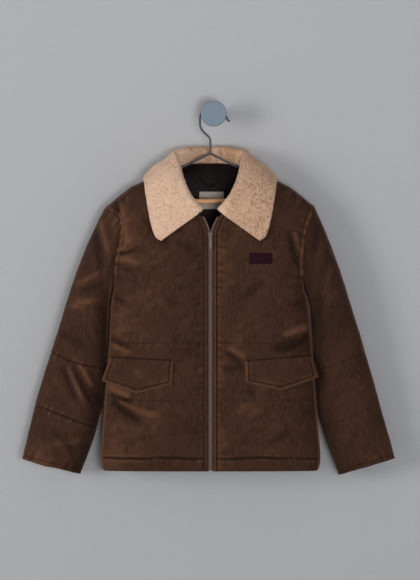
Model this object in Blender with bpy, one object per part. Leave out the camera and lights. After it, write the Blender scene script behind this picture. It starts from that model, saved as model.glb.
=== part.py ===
"""Corduroy jacket with a pile collar, on a wire hanger that hangs from a round wall knob.

Metres, +Z up. The wall is the plane Y = 0, the jacket hangs in front of it at Y < 0, and the origin is the
centre of the knob's back face. "Right" and "left" are the wearer's, so the right half is at -X.
Heights in the tables are measured from the origin; widths are measured from the jacket's own centre line.
"""
import math
from collections import namedtuple

import bmesh
import bpy
from mathutils import Vector

# ---------------------------------------------------------------- driving dimensions (metres)
CENTRE_X = -0.0065          # the jacket's centre line, beside the knob's
CENTRE_Y = -0.050           # plane between front and back, where the hanger is
SEAM = 0.0003               # gap between two pieces at a seam
WALL = 0.006                # padded cloth: corduroy, wadding and lining
ROUNDNESS = 2.6             # exponent of the body's cross-section, 2 is an ellipse
SHOULDER_ROUND = 0.070      # height over which the top rounds over to the shoulder seam
HEM_Z = -0.6785
UNDERARM_Z = -0.3304
NECK_X = 0.074              # side neck point, where the collar meets the shoulder seam
NECK_Z = -0.1036
NECK_BEND = 1.8             # how the back's columns crowd towards the side neck point
SHOULDER_SLOPE = 0.46
DROOP_X = 0.150             # past the end of the hanger the shoulder droops
DROOP_SLOPE = 0.80
ZIP_EDGE_X = 0.0045         # folded edge of each front beside the closed zip
ZIP_OPEN_Z = -0.2280        # above the slider the two edges spread apart
ZIP_TOP_Z = -0.1905
ZIP_SPREAD = 0.0160         # how far each edge has spread at the neckline
ZIP_CURVE = 1.3             # exponent of that spread
PUFF = 0.0035               # how far the wadding stands out between two quilting lines
FULLNESS = 0.6              # exponent of the puff's section, 1 is a parabola
QUIET = 0.030               # the puffs fade out this close to a side or shoulder seam
QUILT_Z = (-0.6534, -0.5440, -0.4353, -0.3304, -0.2230, -0.1150)
STITCH_X = 0.0100           # the row of stitches beside the zip edge
STITCH_DEPTH = 0.0015
STITCH_WIDTH = 0.0030
ZIP_FLAT = 0.018            # width over which the puffs rise beside that row
HEM_TURN = {"outer": -0.0022, "inner": 0.0018}     # how far the hem's edge is rounded over

RIGHT, LEFT = "right", "left"
SIGN = {RIGHT: -1.0, LEFT: 1.0}

# half widths of the body below the armholes, and the widths that its section keeps above them
Girth = namedtuple("Girth", "z right left")
BODY_GIRTH = [
    Girth(-0.6785, 0.2050, 0.2060),
    Girth(-0.6534, 0.2085, 0.2095),
    Girth(-0.5950, 0.2050, 0.2050),
    Girth(-0.5140, 0.1993, 0.1993),
    Girth(-0.4300, 0.1936, 0.1925),
    Girth(-0.3865, 0.1915, 0.1890),
    Girth(-0.3520, 0.1890, 0.1845),
    Girth(-0.3304, 0.1856, 0.1780),
    Girth(-0.3100, 0.1900, 0.1850),
    Girth(-0.2900, 0.1960, 0.1930),
    Girth(-0.2500, 0.2000, 0.2010),
    Girth(-0.2000, 0.2100, 0.2120),
    Girth(-0.1780, 0.2280, 0.2280),
    Girth(-0.0600, 0.2500, 0.2500),
]

# how far the cloth stands in front of and behind the centre plane
Depth = namedtuple("Depth", "z front back")
BODY_DEPTH = [
    Depth(-0.6785, 0.0480, 0.0360),
    Depth(-0.6200, 0.0530, 0.0390),
    Depth(-0.5000, 0.0580, 0.0410),
    Depth(-0.3300, 0.0600, 0.0420),
    Depth(-0.2000, 0.0580, 0.0420),
    Depth(-0.0600, 0.0560, 0.0400),
]

# armhole seam from the underarm (t = 0) to the shoulder point (t = 1): half width and height on each side
Armhole = namedtuple("Armhole", "t right_x right_z left_x left_z")
ARMHOLE = [
    Armhole(0.00, 0.1856, -0.3304, 0.1780, -0.3304),
    Armhole(0.30, 0.1815, -0.2839, 0.1752, -0.2877),
    Armhole(0.55, 0.1725, -0.2478, 0.1765, -0.2570),
    Armhole(0.76, 0.1690, -0.2150, 0.1805, -0.2270),
    Armhole(0.90, 0.1755, -0.1945, 0.1880, -0.2010),
    Armhole(1.00, 0.1993, -0.1780, 0.1978, -0.1768),
]

# neckline from the zip or the centre back (t = 0) to the side neck point (t = 1)
Neck = namedtuple("Neck", "t front_x front_z back_x back_z")
NECKLINE = [
    Neck(0.00, 0.0205, -0.1905, 0.0000, -0.0950),
    Neck(0.35, 0.0475, -0.1640, 0.0260, -0.0952),
    Neck(0.70, 0.0650, -0.1290, 0.0510, -0.0975),
    Neck(1.00, 0.0740, -0.1036, 0.0740, -0.1036),
]

# columns of a half panel from its centre edge (0) to its side edge (1); the back's neckline ends at NECK_COLUMN
COLUMNS = (0.0, 0.055, 0.15, 0.24, 0.32, 0.38, 0.50, 0.627, 0.768, 0.88, 0.96, 1.0)
NECK_COLUMN = 5
NECK_ROW = 0.52             # row of a front at the top of the zip, where the neckline starts
# rows between two quilting lines, and from the underarm (0) to the neckline or shoulder (1)
CHANNEL_ROWS = (0.0, 0.06, 0.25, 0.50, 0.75, 0.94)
UPPER_ROWS = (0.0, 0.18, 0.36, 0.52, 0.66, 0.78, 0.875, 0.945, 0.985, 1.0)
HEM_ROWS = (-0.6785, -0.6750, -0.6665, -0.6570)

# large folds in the outer cloth: a soft ridge (height > 0) or trough (height < 0) along a line
Fold = namedtuple("Fold", "side face x0 z0 x1 z1 width height")
FOLDS = [
    Fold(RIGHT, "front", 0.166, -0.272, 0.128, -0.236, 0.011, 0.0040),
    Fold(RIGHT, "front", 0.160, -0.255, 0.118, -0.262, 0.012, -0.0030),
    Fold(RIGHT, "front", 0.171, -0.190, 0.160, -0.245, 0.012, 0.0035),
    Fold(RIGHT, "front", 0.190, -0.545, 0.125, -0.588, 0.013, -0.0040),
    Fold(RIGHT, "front", 0.195, -0.530, 0.150, -0.545, 0.012, 0.0030),
    Fold(LEFT, "front", 0.188, -0.422, 0.122, -0.446, 0.012, -0.0040),
    Fold(LEFT, "front", 0.185, -0.405, 0.140, -0.425, 0.013, 0.0030),
    Fold(LEFT, "front", 0.150, -0.235, 0.163, -0.285, 0.012, -0.0030),
    Fold(RIGHT, "back", 0.165, -0.250, 0.120, -0.300, 0.014, -0.0030),
    Fold(LEFT, "back", 0.165, -0.250, 0.125, -0.295, 0.014, -0.0030),
    Fold(LEFT, "back", 0.185, -0.560, 0.110, -0.600, 0.014, -0.0030),
    Fold(RIGHT, "back", 0.190, -0.420, 0.120, -0.460, 0.014, -0.0030),
]

# sleeve sections: the outer and the inner edge of the flattened tube, its half depth and its centre's Y
Section = namedtuple("Section", "t outer_x outer_z inner_x inner_z half_depth y")
SLEEVE = {
    RIGHT: [
        Section(0.00, 0.2735, -0.3580, 0.1935, -0.3750, 0.0400, -0.0475),
        Section(1.00, 0.3035, -0.4545, 0.1998, -0.4890, 0.0385, -0.0440),
        Section(2.00, 0.3338, -0.5545, 0.2155, -0.5960, 0.0360, -0.0420),
        Section(3.00, 0.3575, -0.6560, 0.2475, -0.6850, 0.0310, -0.0410),
    ],
    LEFT: [
        Section(0.00, 0.2660, -0.3580, 0.1915, -0.3760, 0.0400, -0.0475),
        Section(1.00, 0.2955, -0.4545, 0.2000, -0.4900, 0.0385, -0.0440),
        Section(2.00, 0.3235, -0.5545, 0.2130, -0.5960, 0.0360, -0.0420),
        Section(3.00, 0.3515, -0.6550, 0.2440, -0.6865, 0.0310, -0.0410),
    ],
}
SLEEVE_ROUNDNESS = 2.3
SLEEVE_HEAD_ROWS = (0.0, 0.06, 0.16, 0.30, 0.46, 0.62, 0.76, 0.90)
SLEEVE_PUFF = 0.0032
SLEEVE_START = {RIGHT: Vector((0.51, 0.0, -0.86)), LEFT: Vector((0.43, 0.0, -0.90))}    # off the armhole
CUFF_STITCH = 0.075                         # share of the last channel below the row of stitches
CUFF_PUFFS = (-0.0005, 0.0012, -0.0008)     # at the row of stitches, the middle of the cuff's hem and its edge

# collar, from a front end to the centre back: the neck seam's place, the direction and height of the stand, the
# outer edge of the fall ("edge_s" is its way from the shoulder ridge, < 0 in front and > 0 behind), and how far
# the stiff fall bridges over the body beside the fold
Collar = namedtuple("Collar", "t neck_t rise_x rise_y rise_z stand edge_x edge_s bridge")
COLLAR = [
    Collar(0.0, 0.00, -0.70, -0.25, 0.65, 0.0020, 0.0930, -0.1700, 0.0000),
    Collar(1.0, 0.12, -0.73, -0.20, 0.65, 0.0030, 0.1050, -0.1550, 0.0010),
    Collar(2.0, 0.35, -0.78, -0.10, 0.62, 0.0050, 0.1140, -0.1214, 0.0028),
    Collar(3.0, 0.62, -0.80, 0.00, 0.60, 0.0060, 0.1195, -0.0830, 0.0048),
    Collar(4.0, 0.85, -0.60, 0.00, 0.80, 0.0110, 0.1222, -0.0500, 0.0100),
    Collar(5.0, 1.00, -0.18, 0.00, 0.98, 0.0215, 0.1228, 0.0000, 0.0150),
    Collar(6.0, 0.72, -0.06, -0.10, 0.99, 0.0215, 0.1000, 0.0600, 0.0130),
    Collar(7.0, 0.36, 0.00, -0.05, 1.00, 0.0225, 0.0520, 0.0950, 0.0080),
    Collar(8.0, 0.00, 0.00, 0.00, 1.00, 0.0225, 0.0000, 0.1080, 0.0060),
]
COLLAR_SHOULDER = 5.0       # the row of the table at the shoulder seam
COLLAR_WALL = 0.0060        # the pile's backing and its curls
COLLAR_LIFT = 0.0012        # how far the fall clears the cloth under it
COLLAR_STATIONS = 17        # sections from a front end to the centre back
COLLAR_FALL = (0.10, 0.35, 0.67, 1.0)
COLLAR_TURN = (40, 80, 120, 160)    # degrees round the fold
COLLAR_FOLD_MIN = 0.0050    # radius of the fold over the stand
COLLAR_FOLD_MAX = 0.0065
COLLAR_NECK_GAP = 0.0010
COLLAR_SHOULDER_GAP = 0.0022    # more room where the seam crosses the shoulder

# pocket flap: its five corners, half width and height, from the upper outer corner round
Corner = namedtuple("Corner", "right_x right_z left_x left_z")
FLAP = {
    "top_outer": Corner(0.1890, -0.4610, 0.1930, -0.4590),
    "top_inner": Corner(0.0697, -0.4670, 0.0656, -0.4676),
    "low_inner": Corner(0.0725, -0.5132, 0.0669, -0.5090),
    "point": Corner(0.1387, -0.5308, 0.1340, -0.5252),
    "low_outer": Corner(0.2065, -0.5062, 0.2050, -0.5000),
}
FLAP_THICK = 0.0042
FLAP_FLARE = 0.022          # the stiff flap follows a wider body than the one it hangs on
FLAP_FLARE_TOP = 0.25       # share of that at the seam along its top
FLAP_THIN = 0.30            # share of its thickness lost at the edge
FLAP_BORDER = 0.12          # width of that thinner border, as a share of the flap

PATCH = {"x": 0.0955, "z": -0.2755, "width": 0.0430, "height": 0.0210, "thick": 0.0012}
LABEL = {"x": 0.0022, "z": -0.1640, "width": 0.0470, "height": 0.0333, "thick": 0.0007}
LINING_CLEAR = 0.0007       # clears the flat faces of the lining's curved inside
LOOP = {"half": 0.0210, "z": -0.1195, "sag": 0.0170, "width": 0.0040, "thick": 0.0014, "slack": 0.0010}

# hanger and knob
WIRE_R = 0.0020
APEX_Z = -0.0754
APEX_ROUND = 0.0060
ARM_END_X = 0.1440
ARM_SLOPE = 0.50
BAR_R = 0.0049
BAR_Z = -0.1665
BAR_HALF = 0.1370
HOOK_CENTRE = (-0.0015, -0.0112)            # X and Z of the hook's round part
HOOK_R = 0.0253
HOOK_ARC = (186, 14, 20)                    # its first and last angle in degrees, and its number of steps
KNOB_R = 0.0243
KNOB_RIM = 0.0014
KNOB_SIDES = 36
KNOB_STEM_R = 0.0118
KNOB_BACK_Y = -0.0540
KNOB_FRONT_Y = -0.0660

# X (from the centre line) and Z along the hook's stem, and X and Z of its turned-out tip
HOOK_STEM = [(0.0, -0.0640), (0.0, -0.0530), (-0.0004, -0.0485), (-0.0028, -0.0440), (-0.0075, -0.0398),
             (-0.0128, -0.0350), (-0.0170, -0.0290), (-0.0198, -0.0220)]
HOOK_TIP = [(0.0252, -0.0090), (0.0275, -0.0125), (0.0305, -0.0150)]

# zip halves, slider and pull tab
ZIP_FOOT_Z = -0.6770
ZIP_HEAD_Z = -0.1960
ZIP_RECESS = 0.0008
ZIP_THICK = 0.0036
SLIDER_TOP_Z = -0.2250
SLIDER_LENGTH = 0.0150
SLIDER_HALF = 0.0046
SLIDER_THICK = 0.0042
PIVOT_DROP = 0.0052         # from the slider's top down to the tab's hinge axis
PIVOT_OUT = 0.0013          # from the slider's face out to that axis
TAB_LENGTH = 0.0280
TAB_HALF = 0.0032
TAB_THICK = 0.0014
TAB_EYE = {"half": 0.0018, "top": 0.0007, "bottom": 0.0044}     # below the tab's axis
ARCH = {"half": 0.0011, "out": 0.0038, "window": 0.0019, "reach": 0.0030}

COLOURS = {                 # base colour (linear), roughness, metallic
    "corduroy": ((0.048, 0.022, 0.015), 0.90, 0.0),
    "pile": ((0.68, 0.52, 0.38), 0.95, 0.0),
    "zip": ((0.16, 0.12, 0.10), 0.55, 0.2),
    "metal": ((0.30, 0.25, 0.22), 0.35, 0.9),
    "patch": ((0.030, 0.006, 0.012), 0.80, 0.0),
    "label": ((0.42, 0.38, 0.33), 0.80, 0.0),
    "loop": ((0.012, 0.008, 0.006), 0.80, 0.0),
    "wire": ((0.10, 0.10, 0.11), 0.35, 1.0),
    "wood": ((0.50, 0.29, 0.14), 0.50, 0.0),
    "knob": ((0.17, 0.24, 0.31), 0.45, 0.0),
}


# ---------------------------------------------------------------- reading the tables
def smooth(table, key, column, at):
    """Value of a column at a key, on a smooth curve through the table's rows."""
    rows = sorted(table, key=lambda row: getattr(row, key))
    keys = [getattr(row, key) for row in rows]
    values = [getattr(row, column) for row in rows]
    if at <= keys[0]:
        return values[0]
    if at >= keys[-1]:
        return values[-1]
    i = max(n for n in range(len(keys) - 1) if keys[n] <= at)
    slopes = []
    for n in (i, i + 1):
        before, after = max(n - 1, 0), min(n + 1, len(keys) - 1)
        slopes.append((values[after] - values[before]) / (keys[after] - keys[before]))
    span = keys[i + 1] - keys[i]
    u = (at - keys[i]) / span
    return (
        values[i] * (1 + 2 * u) * (1 - u) ** 2
        + slopes[0] * span * u * (1 - u) ** 2
        + values[i + 1] * u * u * (3 - 2 * u)
        + slopes[1] * span * u * u * (u - 1)
    )


def fade(value, start, end):
    """0 at start, 1 at end, smooth between them."""
    u = min(max((value - start) / (end - start), 0.0), 1.0)
    return u * u * (3 - 2 * u)


# ---------------------------------------------------------------- the body's form
def ridge_z(x):
    """Height of the shoulder seam at distance x from the centre line."""
    if x < DROOP_X:
        return NECK_Z - SHOULDER_SLOPE * (x - NECK_X)
    return NECK_Z - SHOULDER_SLOPE * (DROOP_X - NECK_X) - DROOP_SLOPE * (x - DROOP_X)


def cloth_depth(side, face, x, z, inset=0.0, wider=0.0):
    """Distance of the cloth from the centre plane; inset gives the inside of the wall."""
    half = smooth(BODY_GIRTH, "z", side, z) - inset + wider
    full = smooth(BODY_DEPTH, "z", face, z) - inset
    across = max(1 - min(abs(x) / half, 1.0) ** ROUNDNESS, 0.0) ** (1 / ROUNDNESS)
    below = (ridge_z(abs(x)) - inset + wider - z) / SHOULDER_ROUND
    over = 0.0 if below <= 0 else math.sqrt(1 - (1 - min(below, 1.0)) ** 2)
    return full * across * over


def zip_edge(z):
    """Distance of a front's zip edge from the centre line."""
    return ZIP_EDGE_X + ZIP_SPREAD * max((z - ZIP_OPEN_Z) / (ZIP_TOP_Z - ZIP_OPEN_Z), 0.0) ** ZIP_CURVE


def puff_at(z, lines, puff):
    """Height of the wadding between quilting lines."""
    for low, high in zip(lines, lines[1:]):
        if low <= z <= high:
            u = (z - low) / (high - low)
            return puff * (4 * u * (1 - u)) ** FULLNESS
    if z < lines[0]:
        return 0.6 * puff * math.sin(math.pi * min((lines[0] - z) / (lines[0] - HEM_Z), 1.0) ** 0.8)
    return 0.0


def fold_height(side, face, x, z):
    """Sum of the large folds at a point of the outer cloth."""
    total = 0.0
    for fold in FOLDS:
        if fold.side != side or fold.face != face:
            continue
        dx, dz = fold.x1 - fold.x0, fold.z1 - fold.z0
        along = ((x - fold.x0) * dx + (z - fold.z0) * dz) / (dx * dx + dz * dz)
        off = math.hypot(x - fold.x0 - along * dx, z - fold.z0 - along * dz)
        ends = fade(along, -0.25, 0.15) * (1 - fade(along, 0.75, 1.25))
        total += fold.height * math.exp(-(off / fold.width) ** 2) * ends
    return total


def relief(side, face, x, z):
    """How far the outer cloth stands off its plain form."""
    half = smooth(BODY_GIRTH, "z", side, z)
    quiet = fade(half - x, 0.0, QUIET) * fade(ridge_z(x) - z, 0.0, QUIET)
    height = (puff_at(z, sorted(QUILT_Z), PUFF) + fold_height(side, face, x, z)) * quiet
    if face == "front":
        from_zip = x - zip_edge(z)
        height *= fade(from_zip, STITCH_X, STITCH_X + ZIP_FLAT)
        height -= STITCH_DEPTH * math.exp(-((from_zip - STITCH_X) / STITCH_WIDTH) ** 2)
    return height


def surface(side, face, x, z, out=0.0):
    """A point of the outer cloth in the world, moved out from it by "out"."""
    depth = cloth_depth(side, face, x, z) + relief(side, face, x, z) + out
    forward = -1.0 if face == "front" else 1.0
    return Vector((CENTRE_X + SIGN[side] * x, CENTRE_Y + forward * depth, z))


def lining(side, face, x, z, inward=0.0):
    """A point of the wall's inside, moved in from it by "inward"."""
    depth = cloth_depth(side, face, x, z, WALL) - inward
    forward = -1.0 if face == "front" else 1.0
    return Vector((CENTRE_X + SIGN[side] * x, CENTRE_Y + forward * depth, z))


# ---------------------------------------------------------------- mesh helpers
def material(name):
    """The Principled material of a kind of surface."""
    made = bpy.data.materials.get(name)
    if made:
        return made
    colour, rough, metallic = COLOURS[name]
    made = bpy.data.materials.new(name)
    made.use_nodes = True
    shader = made.node_tree.nodes["Principled BSDF"]
    shader.inputs["Base Color"].default_value = (*colour, 1.0)
    shader.inputs["Roughness"].default_value = rough
    shader.inputs["Metallic"].default_value = metallic
    made.diffuse_color = (*colour, 1.0)
    return made


def finish_object(name, bm, kind, sharp_degrees=50.0):
    """Turn a bmesh into a named object with its material, faces pointing out."""
    bmesh.ops.recalc_face_normals(bm, faces=bm.faces)
    mesh = bpy.data.meshes.new(name)
    bm.to_mesh(mesh)
    bm.free()
    mesh.materials.append(material(kind))
    mesh.shade_smooth()
    mesh.set_sharp_from_angle(angle=math.radians(sharp_degrees))
    thing = bpy.data.objects.new(name, mesh)
    bpy.context.scene.collection.objects.link(thing)
    return thing


def wall_between(name, outer, inner, kind, closed=False):
    """One closed wall from two grids of points; closed joins each row's end to its start."""
    bm = bmesh.new()
    layers = [[[bm.verts.new(p) for p in row] for row in grid] for grid in (outer, inner)]
    rows, columns = len(outer), len(outer[0])
    last = columns if closed else columns - 1
    for sheet in layers:
        for r in range(rows - 1):
            for c in range(last):
                d = (c + 1) % columns
                bm.faces.new((sheet[r][c], sheet[r][d], sheet[r + 1][d], sheet[r + 1][c]))
    front, rear = layers
    for r in (0, rows - 1):
        for c in range(last):
            d = (c + 1) % columns
            bm.faces.new((front[r][c], front[r][d], rear[r][d], rear[r][c]))
    if not closed:
        for c in (0, columns - 1):
            for r in range(rows - 1):
                bm.faces.new((front[r][c], front[r + 1][c], rear[r + 1][c], rear[r][c]))
    bmesh.ops.triangulate(bm, faces=bm.faces, quad_method="SHORT_EDGE")
    return finish_object(name, bm, kind)


def tube(name, path, radius, kind, sides=10):
    """A round bar along a list of points, closed at both ends."""
    bm = bmesh.new()
    rings = []
    side_way = None
    for i, point in enumerate(path):
        ahead = path[min(i + 1, len(path) - 1)] - path[max(i - 1, 0)]
        ahead.normalize()
        if side_way is None:
            side_way = ahead.cross(Vector((0.0, 1.0, 0.0)))
        side_way = (side_way - ahead * side_way.dot(ahead)).normalized()
        up_way = ahead.cross(side_way)
        ring = []
        for k in range(sides):
            angle = 2 * math.pi * k / sides
            ring.append(bm.verts.new(point + radius * (math.cos(angle) * side_way + math.sin(angle) * up_way)))
        rings.append(ring)
    for low, high in zip(rings, rings[1:]):
        for k in range(sides):
            m = (k + 1) % sides
            bm.faces.new((low[k], low[m], high[m], high[k]))
    bm.faces.new(rings[0])
    bm.faces.new(rings[-1])
    return finish_object(name, bm, kind)


def arc(centre, radius, start, end, count, y):
    """Points of an arc in the plane Y = y, angles in degrees from +X towards +Z."""
    points = []
    for k in range(count + 1):
        angle = math.radians(start + (end - start) * k / count)
        points.append(Vector((centre[0] + radius * math.cos(angle), y, centre[1] + radius * math.sin(angle))))
    return points


# ---------------------------------------------------------------- fronts and back
def row_heights():
    """Heights of the rows from the hem up to the underarm."""
    lines = sorted(z for z in QUILT_Z if z <= UNDERARM_Z)
    heights = list(HEM_ROWS)
    for low, high in zip(lines, lines[1:]):
        heights += [low + (high - low) * u for u in CHANNEL_ROWS]
    return heights


def centre_edge(face, z):
    return zip_edge(z) if face == "front" else 0.0


def upper_edges(side, face, c, r, inset):
    """The four edges of a half panel above the underarm, as (half width, height) pairs."""
    shoulder_x = smooth(ARMHOLE, "t", side + "_x", 1.0)
    if face == "front":
        x = NECK_X + c * (shoulder_x - NECK_X)
        top = (x, ridge_z(x) - inset)
        if r <= NECK_ROW:
            z = UNDERARM_Z + (ZIP_TOP_Z - UNDERARM_Z) * r / NECK_ROW
            centre = (zip_edge(z), z)
        else:
            t = (r - NECK_ROW) / (1 - NECK_ROW)
            centre = (smooth(NECKLINE, "t", "front_x", t), smooth(NECKLINE, "t", "front_z", t) - inset * t * t)
    else:
        share = COLUMNS[NECK_COLUMN]
        if c <= share:
            t = 1 - (1 - c / share) ** NECK_BEND
            top = (smooth(NECKLINE, "t", "back_x", t), smooth(NECKLINE, "t", "back_z", t) - inset * t * t)
        else:
            x = NECK_X + (c - share) / (1 - share) * (shoulder_x - NECK_X)
            top = (x, ridge_z(x) - inset)
        centre = (0.0, UNDERARM_Z + (NECKLINE[0].back_z - UNDERARM_Z) * r)
    armhole = (
        smooth(ARMHOLE, "t", side + "_x", r),
        smooth(ARMHOLE, "t", side + "_z", r) + inset * (1 - fade(r, 0.0, 0.35)) - inset * fade(r, 0.80, 1.0),
    )
    start = centre_edge(face, UNDERARM_Z)
    half = smooth(BODY_GIRTH, "z", side, UNDERARM_Z)
    bottom = (start + (half - inset * (1 - c ** 8) - start) * c, UNDERARM_Z + inset * c ** 8)
    return bottom, top, centre, armhole


def upper_point(side, face, c, r, inset):
    """Half width and height of a point above the underarm: between the panel's edges."""
    bottom, top, centre, armhole = upper_edges(side, face, c, r, inset)
    low_start, top_start = upper_edges(side, face, 0.0, r, inset)[:2]
    low_end, top_end = upper_edges(side, face, 1.0, r, inset)[:2]
    point = []
    for k in (0, 1):
        straight = (1 - r) * bottom[k] + r * top[k]
        by_centre = centre[k] - (1 - r) * low_start[k] - r * top_start[k]
        by_armhole = armhole[k] - (1 - r) * low_end[k] - r * top_end[k]
        point.append(straight + (1 - c) ** 2 * by_centre + c ** 2 * by_armhole)
    return point


def half_grid(side, face, layer):
    """Rows of points of a half panel, from the hem up; each row runs from the centre to the side."""
    inset = WALL if layer == "inner" else 0.0
    forward = -1.0 if face == "front" else 1.0
    grid = []
    places = []
    for z in row_heights():
        half = smooth(BODY_GIRTH, "z", side, z) - inset
        start = centre_edge(face, z)
        places.append([(start + (half - start) * c, z) for c in COLUMNS])
    for r in UPPER_ROWS:
        places.append([upper_point(side, face, c, r, inset) for c in COLUMNS])
    for number, line in enumerate(places):
        row = []
        for x, z in line:
            depth = cloth_depth(side, face, x, z, inset)
            if layer == "outer":
                depth += relief(side, face, x, z)
            if number == 0:
                depth += HEM_TURN[layer]
            depth = max(depth, SEAM / 2)
            row.append(Vector((CENTRE_X + SIGN[side] * x, CENTRE_Y + forward * depth, z)))
        grid.append(row)
    return grid


def make_front(side):
    outer = half_grid(side, "front", "outer")
    inner = half_grid(side, "front", "inner")
    return wall_between("front_" + side, outer, inner, "corduroy")


def make_back():
    grids = []
    for layer in ("outer", "inner"):
        right = half_grid(RIGHT, "back", layer)
        left = half_grid(LEFT, "back", layer)
        grids.append([a[::-1] + b[1:] for a, b in zip(right, left)])
    return wall_between("back", grids[0], grids[1], "corduroy")


# ---------------------------------------------------------------- sleeves
def armhole_loop(side, layer):
    """Points of the body's armhole edge: down the front from the shoulder point, then up the back."""
    rows = len(UPPER_ROWS)
    front = [row[-1] for row in half_grid(side, "front", layer)[-rows:]]
    back = [row[-1] for row in half_grid(side, "back", layer)[-rows:]]
    middle = Vector((0.0, CENTRE_Y, 0.0))
    top = Vector((front[-1].x, middle.y, front[-1].z))
    bottom = Vector((front[0].x, middle.y, front[0].z))
    return [top] + front[-2:0:-1] + [bottom] + back[1:-1]


def section_ring(side, t, layer, puff=0.0):
    """Points round the sleeve at a station of its table."""
    inset = WALL if layer == "inner" else 0.0
    table = SLEEVE[side]
    read = {name: smooth(table, "t", name, t) for name in Section._fields[1:]}
    outer = Vector((CENTRE_X + SIGN[side] * read["outer_x"], 0.0, read["outer_z"]))
    inner = Vector((CENTRE_X + SIGN[side] * read["inner_x"], 0.0, read["inner_z"]))
    centre = (outer + inner) / 2 + Vector((0.0, read["y"], 0.0))
    across = (outer - inner) / 2
    half = across.length - inset
    across.normalize()
    depth = read["half_depth"] - inset
    count = 2 * (len(UPPER_ROWS) - 1)
    ring = []
    for k in range(count):
        angle = 2 * math.pi * k / count
        cosine, sine = math.cos(angle), math.sin(angle)
        u = math.copysign(abs(cosine) ** (2 / SLEEVE_ROUNDNESS), cosine)
        v = math.copysign(abs(sine) ** (2 / SLEEVE_ROUNDNESS), sine)
        stand = puff * abs(sine) if layer == "outer" else 0.0
        ring.append(centre + across * half * u - Vector((0.0, (depth + stand) * v, 0.0)))
    return ring


def sleeve_grid(side, layer):
    """Rings from the armhole seam to the cuff."""
    start = Vector((SLEEVE_START[side].x * SIGN[side], 0.0, SLEEVE_START[side].z)).normalized()
    loop = [p + start * SEAM * 2 for p in armhole_loop(side, layer)]
    first = section_ring(side, 0.0, layer)
    second = section_ring(side, 0.15, layer)
    rings = []
    for t in SLEEVE_HEAD_ROWS:
        ring = []
        for a, b, ahead in zip(loop, first, second):
            span = (b - a).length
            leave = start * span
            arrive = (ahead - b).normalized() * span
            ring.append(
                a * ((1 + 2 * t) * (1 - t) ** 2) + leave * (t * (1 - t) ** 2)
                + b * (t * t * (3 - 2 * t)) + arrive * (t * t * (t - 1))
            )
        rings.append(ring)
    for channel in range(3):
        for u in CHANNEL_ROWS:
            puff = SLEEVE_PUFF * (4 * u * (1 - u)) ** FULLNESS
            rings.append(section_ring(side, channel + u, layer, puff))
    stitched = 3.0 - CUFF_STITCH
    rings.pop()
    for t, puff in zip((stitched, 3.0 - CUFF_STITCH / 2, 3.0), CUFF_PUFFS):
        rings.append(section_ring(side, t, layer, puff))
    return rings


def make_sleeve(side):
    outer, inner = sleeve_grid(side, "outer"), sleeve_grid(side, "inner")
    return wall_between("sleeve_" + side, outer, inner, "corduroy", True)


# ---------------------------------------------------------------- collar
def over_body(side, x, s, out):
    """A point beside the outer cloth: s is the way from the shoulder ridge, < 0 in front, > 0 behind."""
    face = "front" if s < 0 else "back"
    forward = -1.0 if face == "front" else 1.0
    quarter = SHOULDER_ROUND * math.pi / 2
    angle = min(abs(s) / quarter, 1.0) * math.pi / 2
    z = ridge_z(x) - SHOULDER_ROUND * (1 - math.cos(angle)) - max(abs(s) - quarter, 0.0)
    depth = cloth_depth(side, face, x, z)
    normal = Vector((SHOULDER_SLOPE * math.cos(angle), forward * math.sin(angle), math.cos(angle)))
    return Vector((x, CENTRE_Y + forward * depth, z)) + normal.normalized() * (out + PUFF * math.sin(angle))


def way_from_ridge(x, z, face):
    """The collar's "s" of a point of the body at half width x and height z."""
    drop = ridge_z(x) - z
    if drop >= SHOULDER_ROUND:
        way = SHOULDER_ROUND * math.pi / 2 + drop - SHOULDER_ROUND
    else:
        way = SHOULDER_ROUND * math.acos(1 - max(drop, 0.0) / SHOULDER_ROUND)
    return -way if face == "front" else way


def neck_middle(side, face, t):
    """Middle of the wall's edge at a place of the neckline."""
    x = smooth(NECKLINE, "t", face + "_x", t)
    z = smooth(NECKLINE, "t", face + "_z", t) - WALL / 2 * t * t
    forward = -1.0 if face == "front" else 1.0
    return Vector((x, CENTRE_Y + forward * cloth_depth(side, face, x, z, WALL / 2), z))


def neck_outward(side, face, t):
    """Direction that carries on the panel past its neckline, square to the seam."""
    middle = neck_middle(side, face, t)
    step = 0.0005
    x = max(middle.x, step)
    z = min(middle.z, ridge_z(x) - WALL / 2 - 3 * step)
    forward = -1.0 if face == "front" else 1.0
    here = cloth_depth(side, face, x, z, WALL / 2)
    slope_x = (cloth_depth(side, face, x + step, z, WALL / 2) - here) / step
    slope_z = (here - cloth_depth(side, face, x, z - step, WALL / 2)) / step
    normal = Vector((-slope_x, forward, -slope_z)).normalized()
    seam = neck_middle(side, face, min(t + 0.02, 1.0)) - neck_middle(side, face, max(t - 0.02, 0.0))
    away = normal.cross(seam).normalized()
    towards_neck = Vector((-middle.x, CENTRE_Y - middle.y, 0.060))
    return away if away.dot(towards_neck) > 0 else -away


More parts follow.
